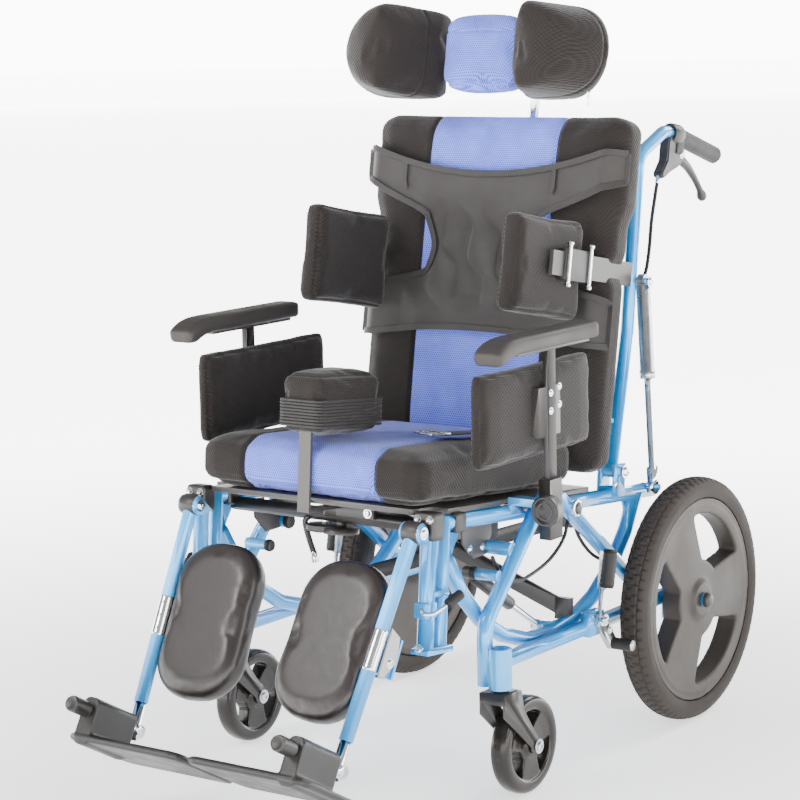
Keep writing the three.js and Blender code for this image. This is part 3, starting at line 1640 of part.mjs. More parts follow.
for (const [side, s] of SIDES) {
  const x = s * seat.x;
  const legX = s * (seat.x - leg.inset);
  const tubeA = rod(point(x, hanger.u, hanger.low - hanger.plateThick), point(x, hanger.u, hanger.high),
    hanger.radius, shaftSides);
  const bottom = box(
    x - hanger.plateHalf,
    x + hanger.plateHalf,
    hanger.u - hanger.plateHalf,
    receiver.u + hanger.plateHalf,
    receiver.low - gap - hanger.plateThick,
    receiver.low - gap,
  );
  const mid = box(
    x - hanger.plateHalf,
    x + hanger.plateHalf,
    hanger.u,
    receiver.u,
    hanger.midW - hanger.plateThick / 2,
    hanger.midW + hanger.plateThick / 2,
  );
  const receiverRoom = rod(point(x, receiver.u, receiver.low), point(x, receiver.u, receiver.high),
    receiver.radius + runGap, shaftSides);
  const cap = box(
    x - hanger.radius - hanger.cheek / 2,
    x + hanger.radius + hanger.cheek / 2,
    hanger.u - hanger.radius,
    hanger.u + hanger.radius,
    -hanger.capHigh,
    hanger.capHigh,
  );
  const cheeks = [1, -1].map((way) => {
    const inner = legX + way * (leg.radius + gap + (leg.radius + hanger.cheek) * Math.sin(leg.inward));
    const shape = new THREE.Shape();
    shape.moveTo(hanger.u, hanger.capHigh);
    shape.absarc(hanger.pivotU, hanger.pivotW, leg.radius + hanger.cheek, Math.PI / 2, 1.5 * Math.PI);
    shape.lineTo(hanger.u, -hanger.capHigh);
    return plate(shape, inner, inner + way * hanger.cheek);
  });
  const pin = crossRod(legX - leg.radius - hanger.cheek * 2, legX + leg.radius + hanger.cheek * 2,
    hanger.pivotU, hanger.pivotW, hanger.pin, shaftSides);
  place(seatFrame, `hanger_${side}`, cut(join([tubeA, bottom, mid, cap, ...cheeks, pin]), receiverRoom),
    looks.paint);

  const limb = new THREE.Group();
  limb.position.set(legX, hanger.pivotU, hanger.pivotW);
  limb.rotation.x = -leg.lean;
  seatFrame.add(limb);
  const shin = (along) =>
    point(-s * along * Math.sin(leg.inward), 0, -along * Math.cos(leg.inward));
  const legTube = rod(shin(0), shin(leg.length), leg.radius, shaftSides);
  const legEye = crossRod(-leg.radius, leg.radius, 0, 0, leg.radius, shaftSides);
  const legEyeHole = crossRod(-leg.radius - over, leg.radius + over, 0, 0, hanger.pin + runGap, shaftSides);
  const legBore = rod(shin(leg.length + over), shin(leg.length - leg.boreDepth), leg.inner + runGap,
    shaftSides);
  const armInner = -s * (seat.x - leg.inset - calf.x - calf.halfWidth / 3);
  const calfArm = box(
    armInner,
    0,
    -calf.back + gap,
    -calf.back + gap + calf.plateThick,
    -calf.armHigh,
    -calf.armLow,
  );
  const calfWeb = box(
    -s * (leg.radius / 2 + calf.plateThick),
    -s * leg.radius / 3,
    0,
    -calf.back + gap + calf.plateThick,
    -calf.armHigh,
    -calf.armLow,
  );
  place(limb, `leg_tube_${side}`, cut(join([legTube, legEye, calfArm, calfWeb]), legEyeHole, legBore),
    looks.paint);
  const calfForm = new THREE.ExtrudeGeometry(
    roundedShape(2 * calf.halfWidth, calf.length, calf.corner),
    {
      depth: calf.thick - 2 * calf.edge,
      bevelThickness: calf.edge,
      bevelSize: calf.edge,
      bevelOffset: -calf.edge,
      bevelSegments: 2,
      curveSegments: 3,
    },
  );
  calfForm.rotateX(Math.PI / 2);
  calfForm.rotateY(s * leg.inward);
  calfForm.translate(-s * (seat.x - leg.inset - calf.x), -calf.back - calf.edge, -calf.along);
  const tubeRoom = rod(shin(0), shin(leg.length + leg.slideOut), leg.radius + gap, shaftSides);
  place(limb, `calf_pad_${side}`, cut(solid(calfForm), tubeRoom), looks.leather);

  const ankle = shin(leg.length + leg.slideOut);
  const slider = rod(shin(leg.length - leg.slideIn), shin(leg.length + leg.slideOut + foot.tubeBelow),
    leg.inner, shaftSides);
  const alongFoot = (from, to, radius) =>
    rod(point(ankle.x, -from, ankle.z), point(ankle.x, -to, ankle.z), radius, shaftSides);
  const knuckle = alongFoot(-foot.knuckleHalf, foot.knuckleHalf, foot.knuckle);
  const hingePin = alongFoot(0, foot.knobFront, hanger.pin);
  const hingeKnob = alongFoot(foot.blockFront + gap, foot.knobFront, foot.knob);
  place(limb, `leg_slider_${side}`, join([slider, knuckle, hingePin, hingeKnob]), looks.zinc);
  const plateShape = roundedShape(foot.outer - foot.inner, foot.plateFront - foot.plateRear, foot.corner);
  const tread = new THREE.ExtrudeGeometry(plateShape, {
    depth: foot.plateThick - 2 * foot.edge,
    bevelThickness: foot.edge,
    bevelSize: foot.edge,
    bevelOffset: -foot.edge,
    bevelSegments: 1,
    curveSegments: 1,
  });
  const plateMiddle = s * ((foot.outer + foot.inner) / 2 - (seat.x - leg.inset));
  tread.translate(plateMiddle, -(foot.plateFront + foot.plateRear) / 2,
    ankle.z - foot.plateDrop - foot.plateThick / 2 + foot.edge);
  const blockForm = new THREE.ExtrudeGeometry(
    roundedShape(2 * foot.blockHalf, foot.blockAbove + foot.plateDrop + foot.blockRound, foot.blockRound),
    { depth: foot.blockFront - foot.knuckleHalf - gap, bevelEnabled: false, curveSegments: 3 },
  );
  blockForm.rotateX(Math.PI / 2);
  blockForm.translate(ankle.x, -foot.knuckleHalf - gap,
    ankle.z + (foot.blockAbove - foot.plateDrop - foot.blockRound) / 2);
  const pinRoom = alongFoot(0, foot.blockFront + over, hanger.pin + runGap);
  place(limb, `footplate_${side}`, cut(join([solid(tread), solid(blockForm)]), pinRoom), looks.black);
}

// The chair is set so that its middle, front to back, lies over the origin.
chair.updateMatrixWorld(true);
const extent = new THREE.Box3().setFromObject(chair, true);
chair.position.y = -(extent.min.y + extent.max.y) / 2;

export default chair;
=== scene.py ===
# A tilt in space wheelchair, dressed piece by piece in the order in which it is put together.
import json
import math

import bmesh
import bpy
from mathutils import Matrix, Vector

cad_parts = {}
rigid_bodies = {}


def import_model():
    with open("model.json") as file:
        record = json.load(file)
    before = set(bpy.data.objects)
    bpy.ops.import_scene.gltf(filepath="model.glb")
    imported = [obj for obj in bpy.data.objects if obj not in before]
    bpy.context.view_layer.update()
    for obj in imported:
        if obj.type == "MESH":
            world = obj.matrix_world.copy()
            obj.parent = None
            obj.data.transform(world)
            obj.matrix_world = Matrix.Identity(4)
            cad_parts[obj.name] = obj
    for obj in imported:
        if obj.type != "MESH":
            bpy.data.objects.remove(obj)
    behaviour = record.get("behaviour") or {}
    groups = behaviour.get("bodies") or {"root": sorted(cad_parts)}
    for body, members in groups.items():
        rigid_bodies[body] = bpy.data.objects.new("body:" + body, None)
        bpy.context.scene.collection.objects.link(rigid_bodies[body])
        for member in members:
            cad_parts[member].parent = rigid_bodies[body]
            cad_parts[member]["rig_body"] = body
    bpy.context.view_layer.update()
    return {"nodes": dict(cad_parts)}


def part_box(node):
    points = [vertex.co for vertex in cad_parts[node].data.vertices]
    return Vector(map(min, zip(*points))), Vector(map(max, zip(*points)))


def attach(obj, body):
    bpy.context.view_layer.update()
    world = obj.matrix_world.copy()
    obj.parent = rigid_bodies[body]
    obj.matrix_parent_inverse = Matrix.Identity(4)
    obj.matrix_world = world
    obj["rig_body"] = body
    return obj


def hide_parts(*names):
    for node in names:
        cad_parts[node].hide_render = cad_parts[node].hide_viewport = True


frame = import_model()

SIDES = (("left", 1), ("right", -1))

# The places that the whole chair is built from: the pivot tube that the seat tilts on, and the seat's,
# the back's and the legs' own frames. Each runs x across, then back along the piece, then up it.
SEAT_TILT, BACK_RECLINE, LEG_RAISE, LEG_INWARD = (math.radians(angle) for angle in (-5, -5.3, -24.2, 3))
BACK_HINGE = (0, 0.180, 0.042)
LEG_PIVOT = (0.209, -0.368, -0.008)
PIVOT = (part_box("pivot_cross_tube")[0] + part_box("pivot_cross_tube")[1]) / 2
SEAT = Matrix.Translation(PIVOT) @ Matrix.Rotation(SEAT_TILT, 4, "X")
BACK = SEAT @ Matrix.Translation(BACK_HINGE) @ Matrix.Rotation(BACK_RECLINE, 4, "X")
LEGS = {
    side: SEAT @ Matrix.Translation((s * LEG_PIVOT[0], *LEG_PIVOT[1:])) @ Matrix.Rotation(LEG_RAISE, 4, "X")
    for side, s in SIDES
}

# The studio: a plain pale floor that rises far off, a pale sky and three soft lamps. The camera stands in
# front of the chair and to its left, at the height of the headrest, and leans by about a degree.
CAMERA_FROM_PIVOT = Vector((2.2461, -3.2425, 0.7742))
CAMERA_TURN = math.radians(35.57)
CAMERA_DROP = math.radians(8.96)
CAMERA_LEAN = math.radians(-1.24)
CAMERA_LENS = 111.9
LAMP_SIZE = 1.6
LAMP_AIM = Vector((0, 0, 0.5))
LAMPS = (
    ("key_lamp", (-1.6, -3.4, 3.2), 150.0),
    ("fill_lamp", (3.6, -1.6, 2.2), 60.0),
    ("rim_lamp", (1.0, 3.2, 2.8), 110.0),
)
SKY_STRENGTH = 0.7
FLOOR_GLOW = {"From Min": 0.4, "From Max": 3.2, "To Min": 1.2, "To Max": 6.0}
FLOOR_SIDES = 72
# Each ring of the floor: its reach and its height.
FLOOR_RINGS = ((30, -0.0004), (31, 0.4), (31, 4.0))


def linear(hex_color):
    """An sRGB hex colour as linear red, green, blue and full alpha."""
    parts = [int(hex_color[i : i + 2], 16) / 255 for i in (1, 3, 5)]
    return [p / 12.92 if p <= 0.04045 else ((p + 0.055) / 1.055) ** 2.4 for p in parts] + [1.0]


def node(tree, kind, inputs=None, **settings):
    """Adds a node with its settings. An input takes a link from a socket, or else a value."""
    made = tree.nodes.new(kind)
    for key, value in settings.items():
        setattr(made, key, value)
    for key, value in (inputs or {}).items():
        if isinstance(value, bpy.types.NodeSocket):
            tree.links.new(value, made.inputs[key])
        else:
            made.inputs[key].default_value = value
    return made


def new_finish(name, covered=False):
    """An empty material, its node tree and the place on the piece, which a covered piece has stored."""
    finish = bpy.data.materials.new(name)
    finish.use_nodes = True
    tree = finish.node_tree
    tree.nodes.clear()
    if covered:
        return finish, tree, node(tree, "ShaderNodeAttribute", attribute_name="place").outputs["Vector"]
    return finish, tree, node(tree, "ShaderNodeTexCoord").outputs["Object"]


def close_finish(tree, **inputs):
    """The shader that ends a material, with its sockets named by words joined with underscores."""
    sockets = {key.replace("_", " "): value for key, value in inputs.items()}
    shader = node(tree, "ShaderNodeBsdfPrincipled", sockets)
    node(tree, "ShaderNodeOutputMaterial", {"Surface": shader.outputs["BSDF"]})


def add_object(name, data):
    """A new object in the scene."""
    made = bpy.data.objects.new(name, data)
    bpy.context.collection.objects.link(made)
    return made


camera = add_object("camera", bpy.data.cameras.new("camera"))
camera.data.lens = CAMERA_LENS
camera.matrix_world = (
    Matrix.Translation(PIVOT + CAMERA_FROM_PIVOT)
    @ Matrix.Rotation(CAMERA_TURN, 4, "Z")
    @ Matrix.Rotation(math.pi / 2 - CAMERA_DROP, 4, "X")
    @ Matrix.Rotation(CAMERA_LEAN, 4, "Z")
)
bpy.context.scene.camera = camera
for lamp_name, lamp_at, lamp_power in LAMPS:
    lamp = add_object(lamp_name, bpy.data.lights.new(lamp_name, "AREA"))
    lamp.data.size = LAMP_SIZE
    lamp.data.energy = lamp_power
    lamp.location = lamp_at
    lamp.rotation_euler = (LAMP_AIM - Vector(lamp_at)).to_track_quat("-Z", "Y").to_euler()
sky = bpy.data.worlds.new("studio_sky")
sky.use_nodes = True
sky.node_tree.nodes["Background"].inputs["Color"].default_value = linear("#fbfbfb")
sky.node_tree.nodes["Background"].inputs["Strength"].default_value = SKY_STRENGTH
bpy.context.scene.world = sky
floor_finish, floor_tree, floor_place = new_finish("matt_paper_floor")
floor_reach = node(floor_tree, "ShaderNodeVectorMath", {0: floor_place}, operation="LENGTH").outputs["Value"]
floor_glow = node(floor_tree, "ShaderNodeMapRange", {"Value": floor_reach, **FLOOR_GLOW},
                  interpolation_type="SMOOTHSTEP").outputs["Result"]
close_finish(floor_tree, Base_Color=linear("#f6f6f5"), Roughness=0.95, Emission_Color=linear("#ffffff"),
             Emission_Strength=floor_glow)
floor_mesh = bpy.data.meshes.new("studio_floor")
floor_mesh.from_pydata([
    (reach * math.cos(2 * math.pi * k / FLOOR_SIDES), reach * math.sin(2 * math.pi * k / FLOOR_SIDES), height)
    for reach, height in FLOOR_RINGS for k in range(FLOOR_SIDES)
], [], [tuple(range(FLOOR_SIDES))] + [
    (ring + k, ring + (k + 1) % FLOOR_SIDES, ring + FLOOR_SIDES + (k + 1) % FLOOR_SIDES, ring + FLOOR_SIDES + k)
    for ring in (0, FLOOR_SIDES) for k in range(FLOOR_SIDES)
])
floor_mesh.materials.append(floor_finish)
add_object("studio_floor", floor_mesh)

# The frame: bent and welded steel tube, blasted and coated with a light blue metallic lacquer under a
# clear coat. Base sides, seat sides, back posts, hangers and leg tubes all wear it.
LACQUER_LIGHT = "#2aa0e6"
LACQUER_DEEP = "#1070b8"
# The pale blue that the frame's proud edges turn to: a painted highlight.
LACQUER_EDGE_HIGHLIGHT = "#58b0e4"
# Real flake is near 0.1 mm; it is drawn at 1.5 mm so that it can glitter in the render.
FLAKE_MM = 1.5


def clouded(tree, place, scale, detail, dark, light, roughness=0.5):
    """A soft cloud over a finish, and its colour, which drifts with it from dark to light."""
    cloud = node(tree, "ShaderNodeTexNoise", {
        "Vector": place, "Scale": scale, "Detail": detail, "Roughness": roughness}).outputs["Fac"]
    return cloud, node(tree, "ShaderNodeMixRGB", {
        "Fac": cloud, "Color1": linear(dark), "Color2": linear(light)}).outputs["Color"]


def edge_highlight(tree, color, highlight_color, start, full, share):
    """A colour that turns to another where edges stand proud: a painted highlight along the edges."""
    edge = node(tree, "ShaderNodeNewGeometry").outputs["Pointiness"]
    edge_light = node(tree, "ShaderNodeMapRange", {
        "Value": edge, "From Min": start, "From Max": full, "To Max": share}).outputs["Result"]
    return node(tree, "ShaderNodeMixRGB", {
        "Fac": edge_light, "Color1": color, "Color2": linear(highlight_color)}).outputs["Color"]


def metallic_lacquer(name):
    """Flake under a clear coat: a soft metal glow with a hard highlight on top, and a pale blue painted highlight on
    proud edges, which leaves hollows darker.
    """
    finish, tree, place = new_finish(name)
    cloud = node(tree, "ShaderNodeTexNoise", {"Vector": place, "Scale": 7.0, "Detail": 4.0}).outputs["Fac"]
    flake = node(tree, "ShaderNodeTexVoronoi", {"Vector": place, "Scale": 1000 / FLAKE_MM}).outputs["Distance"]
    tint = node(tree, "ShaderNodeMapRange", {
        "Value": cloud, "From Min": 0.35, "From Max": 0.65, "To Min": 0.35, "To Max": 0.85}).outputs["Result"]
    body = node(tree, "ShaderNodeMixRGB", {
        "Fac": tint, "Color1": linear(LACQUER_DEEP), "Color2": linear(LACQUER_LIGHT)}).outputs["Color"]
    rough = node(tree, "ShaderNodeMapRange", {
        "Value": flake, "From Max": 0.9, "To Min": 0.26, "To Max": 0.4}).outputs["Result"]
    close_finish(tree, Base_Color=edge_highlight(tree, body, LACQUER_EDGE_HIGHLIGHT, 0.52, 0.6, 0.35), Metallic=0.35,
                 Roughness=rough, Coat_Weight=0.8, Coat_Roughness=0.06)
    return finish


def link(name, mesh, finish, body, crease=38, stands_for=None):
    """A mesh as a piece: smooth up to the crease angle, with its finish, body, slot and CAD node."""
    piece = add_object(name, mesh)
    mesh.materials.clear()
    mesh.materials.append(finish)
    mesh.shade_smooth()
    if crease:
        mesh.set_sharp_from_angle(angle=math.radians(crease))
    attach(piece, body)
    if stands_for:
        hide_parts(stands_for)
    return piece


def body_of(node_name):
    """The body that a CAD node moves with."""
    return frame["nodes"][node_name]["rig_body"]


def shaped(form, name, outward=True):
    """The mesh of a finished form, its faces turned outward unless they are right already."""
    if outward:
        bmesh.ops.recalc_face_normals(form, faces=form.faces)
    made = bpy.data.meshes.new(name)
    form.to_mesh(made)
    form.free()
    return made


def welded(node_name):
    """A fresh mesh of a CAD node with its split corners joined, so that round work can shade round."""
    form = bmesh.new()
    form.from_mesh(frame["nodes"][node_name].data)
    bmesh.ops.remove_doubles(form, verts=form.verts, dist=2e-5)
    bmesh.ops.dissolve_degenerate(form, edges=form.edges, dist=1e-5)
    return shaped(form, node_name + "_welded", False)


def dress(node_names, finish, ending, crease=38):
    """Each node again as a smoothly shaded piece that stands for it."""
    for node_name in node_names:
        link(f"{node_name}_{ending}", welded(node_name), finish, body_of(node_name), crease, node_name)


def both(*stems):
    """The left and the right node of each stem."""
    return [f"{stem}_{side}" for stem in stems for side, _ in SIDES]


LACQUER = metallic_lacquer("blue_metallic_lacquer_on_steel")
dress(both("base_side", "seat_side", "hanger", "leg_tube") + ["back_frame"], LACQUER, "lacquered", 40)

# Rear wheels: solid rubber tyres with staggered shoulder blocks, on rims moulded in one piece from
# glass filled nylon with three broad spokes. Dark grey brown all over, and matt.
TYRE_STEPS = 380
TYRE_BLOCK_STEPS = 5
TYRE_BLOCK_DEPTH = 0.0026
TYRE_ROW_EDGE = 0.0100
TYRE_SEAM = 0.0112
TYRE_WALL_TOP = 0.1925
TYRE_SHOULDER_TOP = 0.1965
# Half of the tyre's section, from bead to crown: distance from the wheel's middle plane, then radius.
TYRE_SECTION = (
    (0.0200, 0.1703), (0.0213, 0.1722), (0.0228, 0.1760), (0.0238, 0.1806), (0.0240, 0.1850), (0.0238, 0.1880),
    (0.0226, 0.1905), (0.0222, 0.1930), (0.0206, 0.1958), (0.0184, 0.1982), (0.0160, 0.1998), (0.0136, 0.2009),
    (0.0112, 0.2016), (0.0088, 0.2022), (0.0062, 0.2026), (0.0036, 0.2029), (0.0012, 0.2030))
RIM_SECTION = (
    (-0.0252, 0.0085), (-0.0252, 0.027), (-0.0235, 0.0296), (-0.0185, 0.036), (-0.0178, 0.044), (-0.0172, 0.120),
    (-0.0185, 0.150), (-0.0196, 0.158), (-0.0178, 0.1615), (-0.0196, 0.1655), (-0.0196, 0.1696))
# A wheel's windows: outer and inner radius, and how far each arc reaches to both sides of its middle.
RIM_WINDOW = (0.143, 0.066, math.radians(36.7), math.radians(20))
WINDOW_STEPS = 14
WINDOW_CUT = 0.04
WHEEL_CENTRES = {side: sum(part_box(f"rear_tyre_{side}"), Vector()) / 2 for side, _ in SIDES}


def rubber(name, dark, light, rough_low, rough_high, grain_mm):
    """Cured rubber: a fine matt grain, dusty on the flats, with faint cloudy wear."""
    finish, tree, place = new_finish(name)
    cloud, color = clouded(tree, place, 14.0, 6.0, dark, light, 0.6)
    grain = node(tree, "ShaderNodeTexNoise", {"Vector": place, "Scale": 1000 / grain_mm, "Detail": 2.0})
    rough = node(tree, "ShaderNodeMapRange", {
        "Value": cloud, "From Min": 0.3, "From Max": 0.7, "To Min": rough_low, "To Max": rough_high})
    bump = node(tree, "ShaderNodeBump", {"Height": grain.outputs["Fac"], "Strength": 0.12, "Distance": 0.0006})
    close_finish(tree, Base_Color=color, Roughness=rough.outputs["Result"], Normal=bump.outputs["Normal"],
                 Specular_IOR_Level=0.35)
    return finish


def spin(section, steps, closed, centre=Vector(), lift=None):
    """A mesh turned about an axis across the chair from (along, radius) points."""
    form = bmesh.new()
    rings = []
    for k in range(steps):
        angle = 2 * math.pi * k / steps
        ring = []
        for along, radius in section:
            reach = radius + (lift(k, along, radius) if lift else 0)
            ring.append(form.verts.new(centre + Vector((along, reach * math.cos(angle), reach * math.sin(angle)))))
        rings.append(ring)
    for k in range(steps):
        here, there = rings[k], rings[(k + 1) % steps]
        for j in range(len(section) if closed else len(section) - 1):
            i = (j + 1) % len(section)
            form.faces.new((here[j], here[i], there[i], there[j]))
    if not closed:
        form.faces.new([ring[0] for ring in rings])
        form.faces.new([ring[-1] for ring in reversed(rings)])
    return shaped(form, "turned")


def tread(step, along, radius):
    """Blocks in staggered rows: the grooves between them are cut, never raised."""
    if radius < TYRE_WALL_TOP:
        return 0
    stagger = (2 if along > 0 else 0) + (0 if abs(along) > TYRE_ROW_EDGE else TYRE_BLOCK_STEPS // 2)
    groove = (step + stagger) % TYRE_BLOCK_STEPS == 0
    seam = abs(abs(along) - TYRE_SEAM) < 0.0008
    return -TYRE_BLOCK_DEPTH * (0.45 if radius < TYRE_SHOULDER_TOP else 1) if groove or seam else 0


def remeshed(item, voxel, rounds):
    """Gives an object even quads of one size, and smooths them."""
    if voxel:
        remesh = item.modifiers.new("remesh", "REMESH")
        remesh.mode = "VOXEL"
        remesh.voxel_size = voxel
    soften = item.modifiers.new("soften", "SMOOTH")
    soften.factor = 0.5
    soften.iterations = rounds


def evaluated(item):
    """A mesh of an object as its modifiers leave it."""
    return bpy.data.meshes.new_from_object(item.evaluated_get(bpy.context.evaluated_depsgraph_get()))


def solid_mesh(mesh, cutters, voxel, rounds):
    """A mesh with cutters taken out of it, then remeshed and smoothed so that its edges are moulded."""
    scratch = add_object("scratch", mesh)
    tools = []
    for cutter in cutters:
        tools.append(add_object("cutter", cutter))
        cut = scratch.modifiers.new("cut", "BOOLEAN")
        cut.operation = "DIFFERENCE"
        cut.object = tools[-1]
        cut.solver = "EXACT"
    remeshed(scratch, voxel, rounds)
    made = evaluated(scratch)
    for item in [scratch] + tools:
        bpy.data.objects.remove(item)
    return made


def skin(form, rings):
    """Faces between rings that have the same count of points, and a lid on each end."""
    for here, there in zip(rings, rings[1:]):
        for k in range(len(here)):
            i = (k + 1) % len(here)
            form.faces.new((here[k], here[i], there[i], there[k]))
    form.faces.new(list(reversed(rings[0])))
    form.faces.new(rings[-1])


def slab(outline, middle, half, bevel=0.0, place=Matrix(), segments=3, lean=0.0):
    """An outline in a frame's second and third directions as a plate, with rounded edges if wanted."""
    form = bmesh.new()
    skin(form, [[form.verts.new(Vector((x + lean * z, y, z))) for y, z in outline]
                for x in (middle - half, middle + half)])
    bmesh.ops.recalc_face_normals(form, faces=form.faces)
    if bevel:
        bmesh.ops.bevel(form, geom=form.edges[:], offset=bevel, segments=segments, affect="EDGES",
                        clamp_overlap=True)
    made = shaped(form, "slab", False)
    made.transform(place)
    return made


def window(middle, outer, inner, spread_out, spread_in):
    """The outline of one wheel window: an arc outside, a shorter arc inside."""
    arcs = [(outer, middle - spread_out, middle + spread_out), (inner, middle + spread_in, middle - spread_in)]
    turns = [(radius, start + (end - start) * k / WINDOW_STEPS)
             for radius, start, end in arcs for k in range(WINDOW_STEPS + 1)]
    return [(radius * math.cos(angle), radius * math.sin(angle)) for radius, angle in turns]


def spoked(profile, steps, centre, first, opening, voxel, rounds):
    """A wheel's disc turned from half of its section, with three windows cut through it."""
    cutters = [slab(window(math.pi * (first + 2 * k / 3), *opening), 0, WINDOW_CUT, place=Matrix.Translation(centre))
               for k in range(3)]
    return solid_mesh(spin(profile, steps, True, centre), cutters, voxel, rounds)


TYRE_RUBBER = rubber("solid_rubber_tyre", "#231f1c", "#332d29", 0.7, 0.9, 1.6)
RIM_NYLON = rubber("glass_filled_nylon_moulding", "#29241f", "#37312c", 0.42, 0.6, 1.2)
for side, s in SIDES:
    centre = WHEEL_CENTRES[side]
    section = list(TYRE_SECTION) + [(-along, radius) for along, radius in reversed(TYRE_SECTION)]
    link(f"rear_tyre_{side}_blocked", spin(section, TYRE_STEPS, True, centre, tread), TYRE_RUBBER,
         f"rear_wheel_{side}", 32, f"rear_tyre_{side}")
    profile = list(RIM_SECTION) + [(-along, radius) for along, radius in reversed(RIM_SECTION)]
    link(f"rear_rim_{side}_moulded", spoked(profile, 144, centre, 1 / 3, RIM_WINDOW, 0.0028, 5), RIM_NYLON,
         f"rear_wheel_{side}", 0, f"rear_rim_{side}")

# Casters: a folded steel fork with black powder coat on a threaded stem, and a solid glossy
# polyurethane wheel with three windows. A zinc plated bolt goes through as the axle.
CASTER_SECTION = (
    (-0.0170, 0.0056), (-0.0170, 0.0150), (-0.0150, 0.0170), (-0.0125, 0.0200), (-0.0120, 0.0350), (-0.0130, 0.0540),
    (-0.0150, 0.0575), (-0.0158, 0.0640), (-0.0150, 0.0700), (-0.0118, 0.0740), (-0.0060, 0.0758), (0.0, 0.0760))
CASTER_WINDOW = (0.0530, 0.0270, math.radians(33), math.radians(17))
# A bolt's washer, flanks and domed top, each ring as a share of its radius and of its height.
HEAD_SHARES = ((1.0, 0.25), (1.0, 0.8), (0.82, 1.0), (0.42, 1.06), (0.36, 0.7), (0.0, 0.66))
WASHER_SHARES = ((1.5, 0.0), (1.5, 0.25), (1.0, 0.25))


def powder_coat(name, dark, light):
    """Powder coat on steel: a satin black with a slight orange peel, and paler proud edges that are a painted
    highlight.
    """
    finish, tree, place = new_finish(name)
    peel = node(tree, "ShaderNodeTexNoise", {"Vector": place, "Scale": 420.0, "Detail": 1.0})
    _, color = clouded(tree, place, 22.0, 5.0, dark, light)
    bump = node(tree, "ShaderNodeBump", {"Height": peel.outputs["Fac"], "Strength": 0.1, "Distance": 0.0005})
    close_finish(tree, Base_Color=edge_highlight(tree, color, "#494542", 0.53, 0.62, 0.5), Roughness=0.4, Metallic=0.0,
                 Normal=bump.outputs["Normal"], Coat_Weight=0.12, Coat_Roughness=0.35)
    return finish


def bright_metal(name, dark, light, rough_low, rough_high):
    """Bare or plated metal: bright, with a faint brushed cloud in its gloss."""
    finish, tree, place = new_finish(name)
    cloud, color = clouded(tree, place, 60.0, 4.0, dark, light)
    rough = node(tree, "ShaderNodeMapRange", {
        "Value": cloud, "From Min": 0.3, "From Max": 0.7, "To Min": rough_low, "To Max": rough_high})
    close_finish(tree, Base_Color=color, Metallic=1.0, Roughness=rough.outputs["Result"])
    return finish


BLACK_STEEL = powder_coat("black_powder_coat_on_steel", "#131110", "#1f1c1b")
ZINC = bright_metal("bright_zinc_plate_on_steel", "#a9abae", "#d2d4d6", 0.24, 0.4)
CHROME = bright_metal("chrome_plate_on_steel", "#c9ccd0", "#eceef0", 0.06, 0.16)


def add_bolt(form, at, way, radius, height):
    """A hex head with a domed top on a round washer, into a form that holds many."""
    turn = Vector((0, 0, 1)).rotation_difference(Vector(way).normalized()).to_matrix().to_4x4()
    place = Matrix.Translation(at) @ turn
    shares = [(24, *share) for share in WASHER_SHARES] + [(6, *share) for share in HEAD_SHARES]
    previous = None
    for count, share_r, share_h in shares:
        reach, up = radius * share_r, height * share_h
        if not reach:
            tip = form.verts.new(place @ Vector((0, 0, up)))
            for k in range(len(previous)):
                form.faces.new((previous[k], previous[(k + 1) % len(previous)], tip))
            continue
        turns = [2 * math.pi * k / count for k in range(count)]
        ring = [form.verts.new(place @ Vector((reach * math.cos(a), reach * math.sin(a), up))) for a in turns]
        if previous and len(previous) == count:
            for k in range(count):
                form.faces.new((previous[k], previous[(k + 1) % count], ring[(k + 1) % count], ring[k]))
        else:
            form.faces.new(list(reversed(ring)))
            if previous:
                form.faces.new(previous)
        previous = ring


def bolts(name, body, heads, finish=CHROME, place=Matrix()):
    """One piece that holds bolt heads in a frame: (at, way, radius, height) each, in metres."""
    form = bmesh.new()
    for at, way, radius, height in heads:
        add_bolt(form, place @ Vector(at), place.to_3x3() @ Vector(way), radius, height)
    return link(name, shaped(form, name, False), finish, body, 30)


POLYURETHANE = rubber("cast_polyurethane_wheel", "#171310", "#241f1b", 0.16, 0.3, 2.5)
for side, s in SIDES:
    centre = sum(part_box(f"caster_wheel_{side}"), Vector()) / 2
    profile = list(CASTER_SECTION) + [(-along, radius) for along, radius in reversed(CASTER_SECTION[:-1])]
    link(f"caster_wheel_{side}_cast", spoked(profile, 96, centre, 0.5, CASTER_WINDOW, 0.0016, 4), POLYURETHANE,
         f"caster_wheel_body_{side}", 0, f"caster_wheel_{side}")
    dress([f"caster_fork_{side}"], BLACK_STEEL, "coated", 40)
    bolts(f"caster_axle_bolt_{side}", f"caster_swivel_body_{side}", [
        ((corner.x, centre.y, centre.z), (way, 0, 0), 0.0075, 0.0045)
        for corner, way in zip(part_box(f"caster_fork_{side}"), (-1, 1))], ZINC)

# Wheel locks: a zinc plated push lever on each side, with a black rubber sleeve to hold it by and a
# black shoe that is pressed on the tyre.
LOCK_PIVOT = (0.2715, 0.060, 0.220)
LOCK_TOP = (0.2715, 0.082, 0.326)
LOCK_SLEEVE = (0.058, 0.0045)
LOCK_SHOE = ((0.262, 0.099, 0.173), (0.302, 0.099, 0.173))
LOCK_BOLT_X = 0.2745


def dense(points, step):
    """The same path with points no further apart than the step."""
    path = [Vector(points[0])]
    for before, here in zip(points, points[1:]):
        before, here = Vector(before), Vector(here)
        count = max(1, math.ceil((here - before).length / step))
        path += [before.lerp(here, (k + 1) / count) for k in range(count)]
    return path


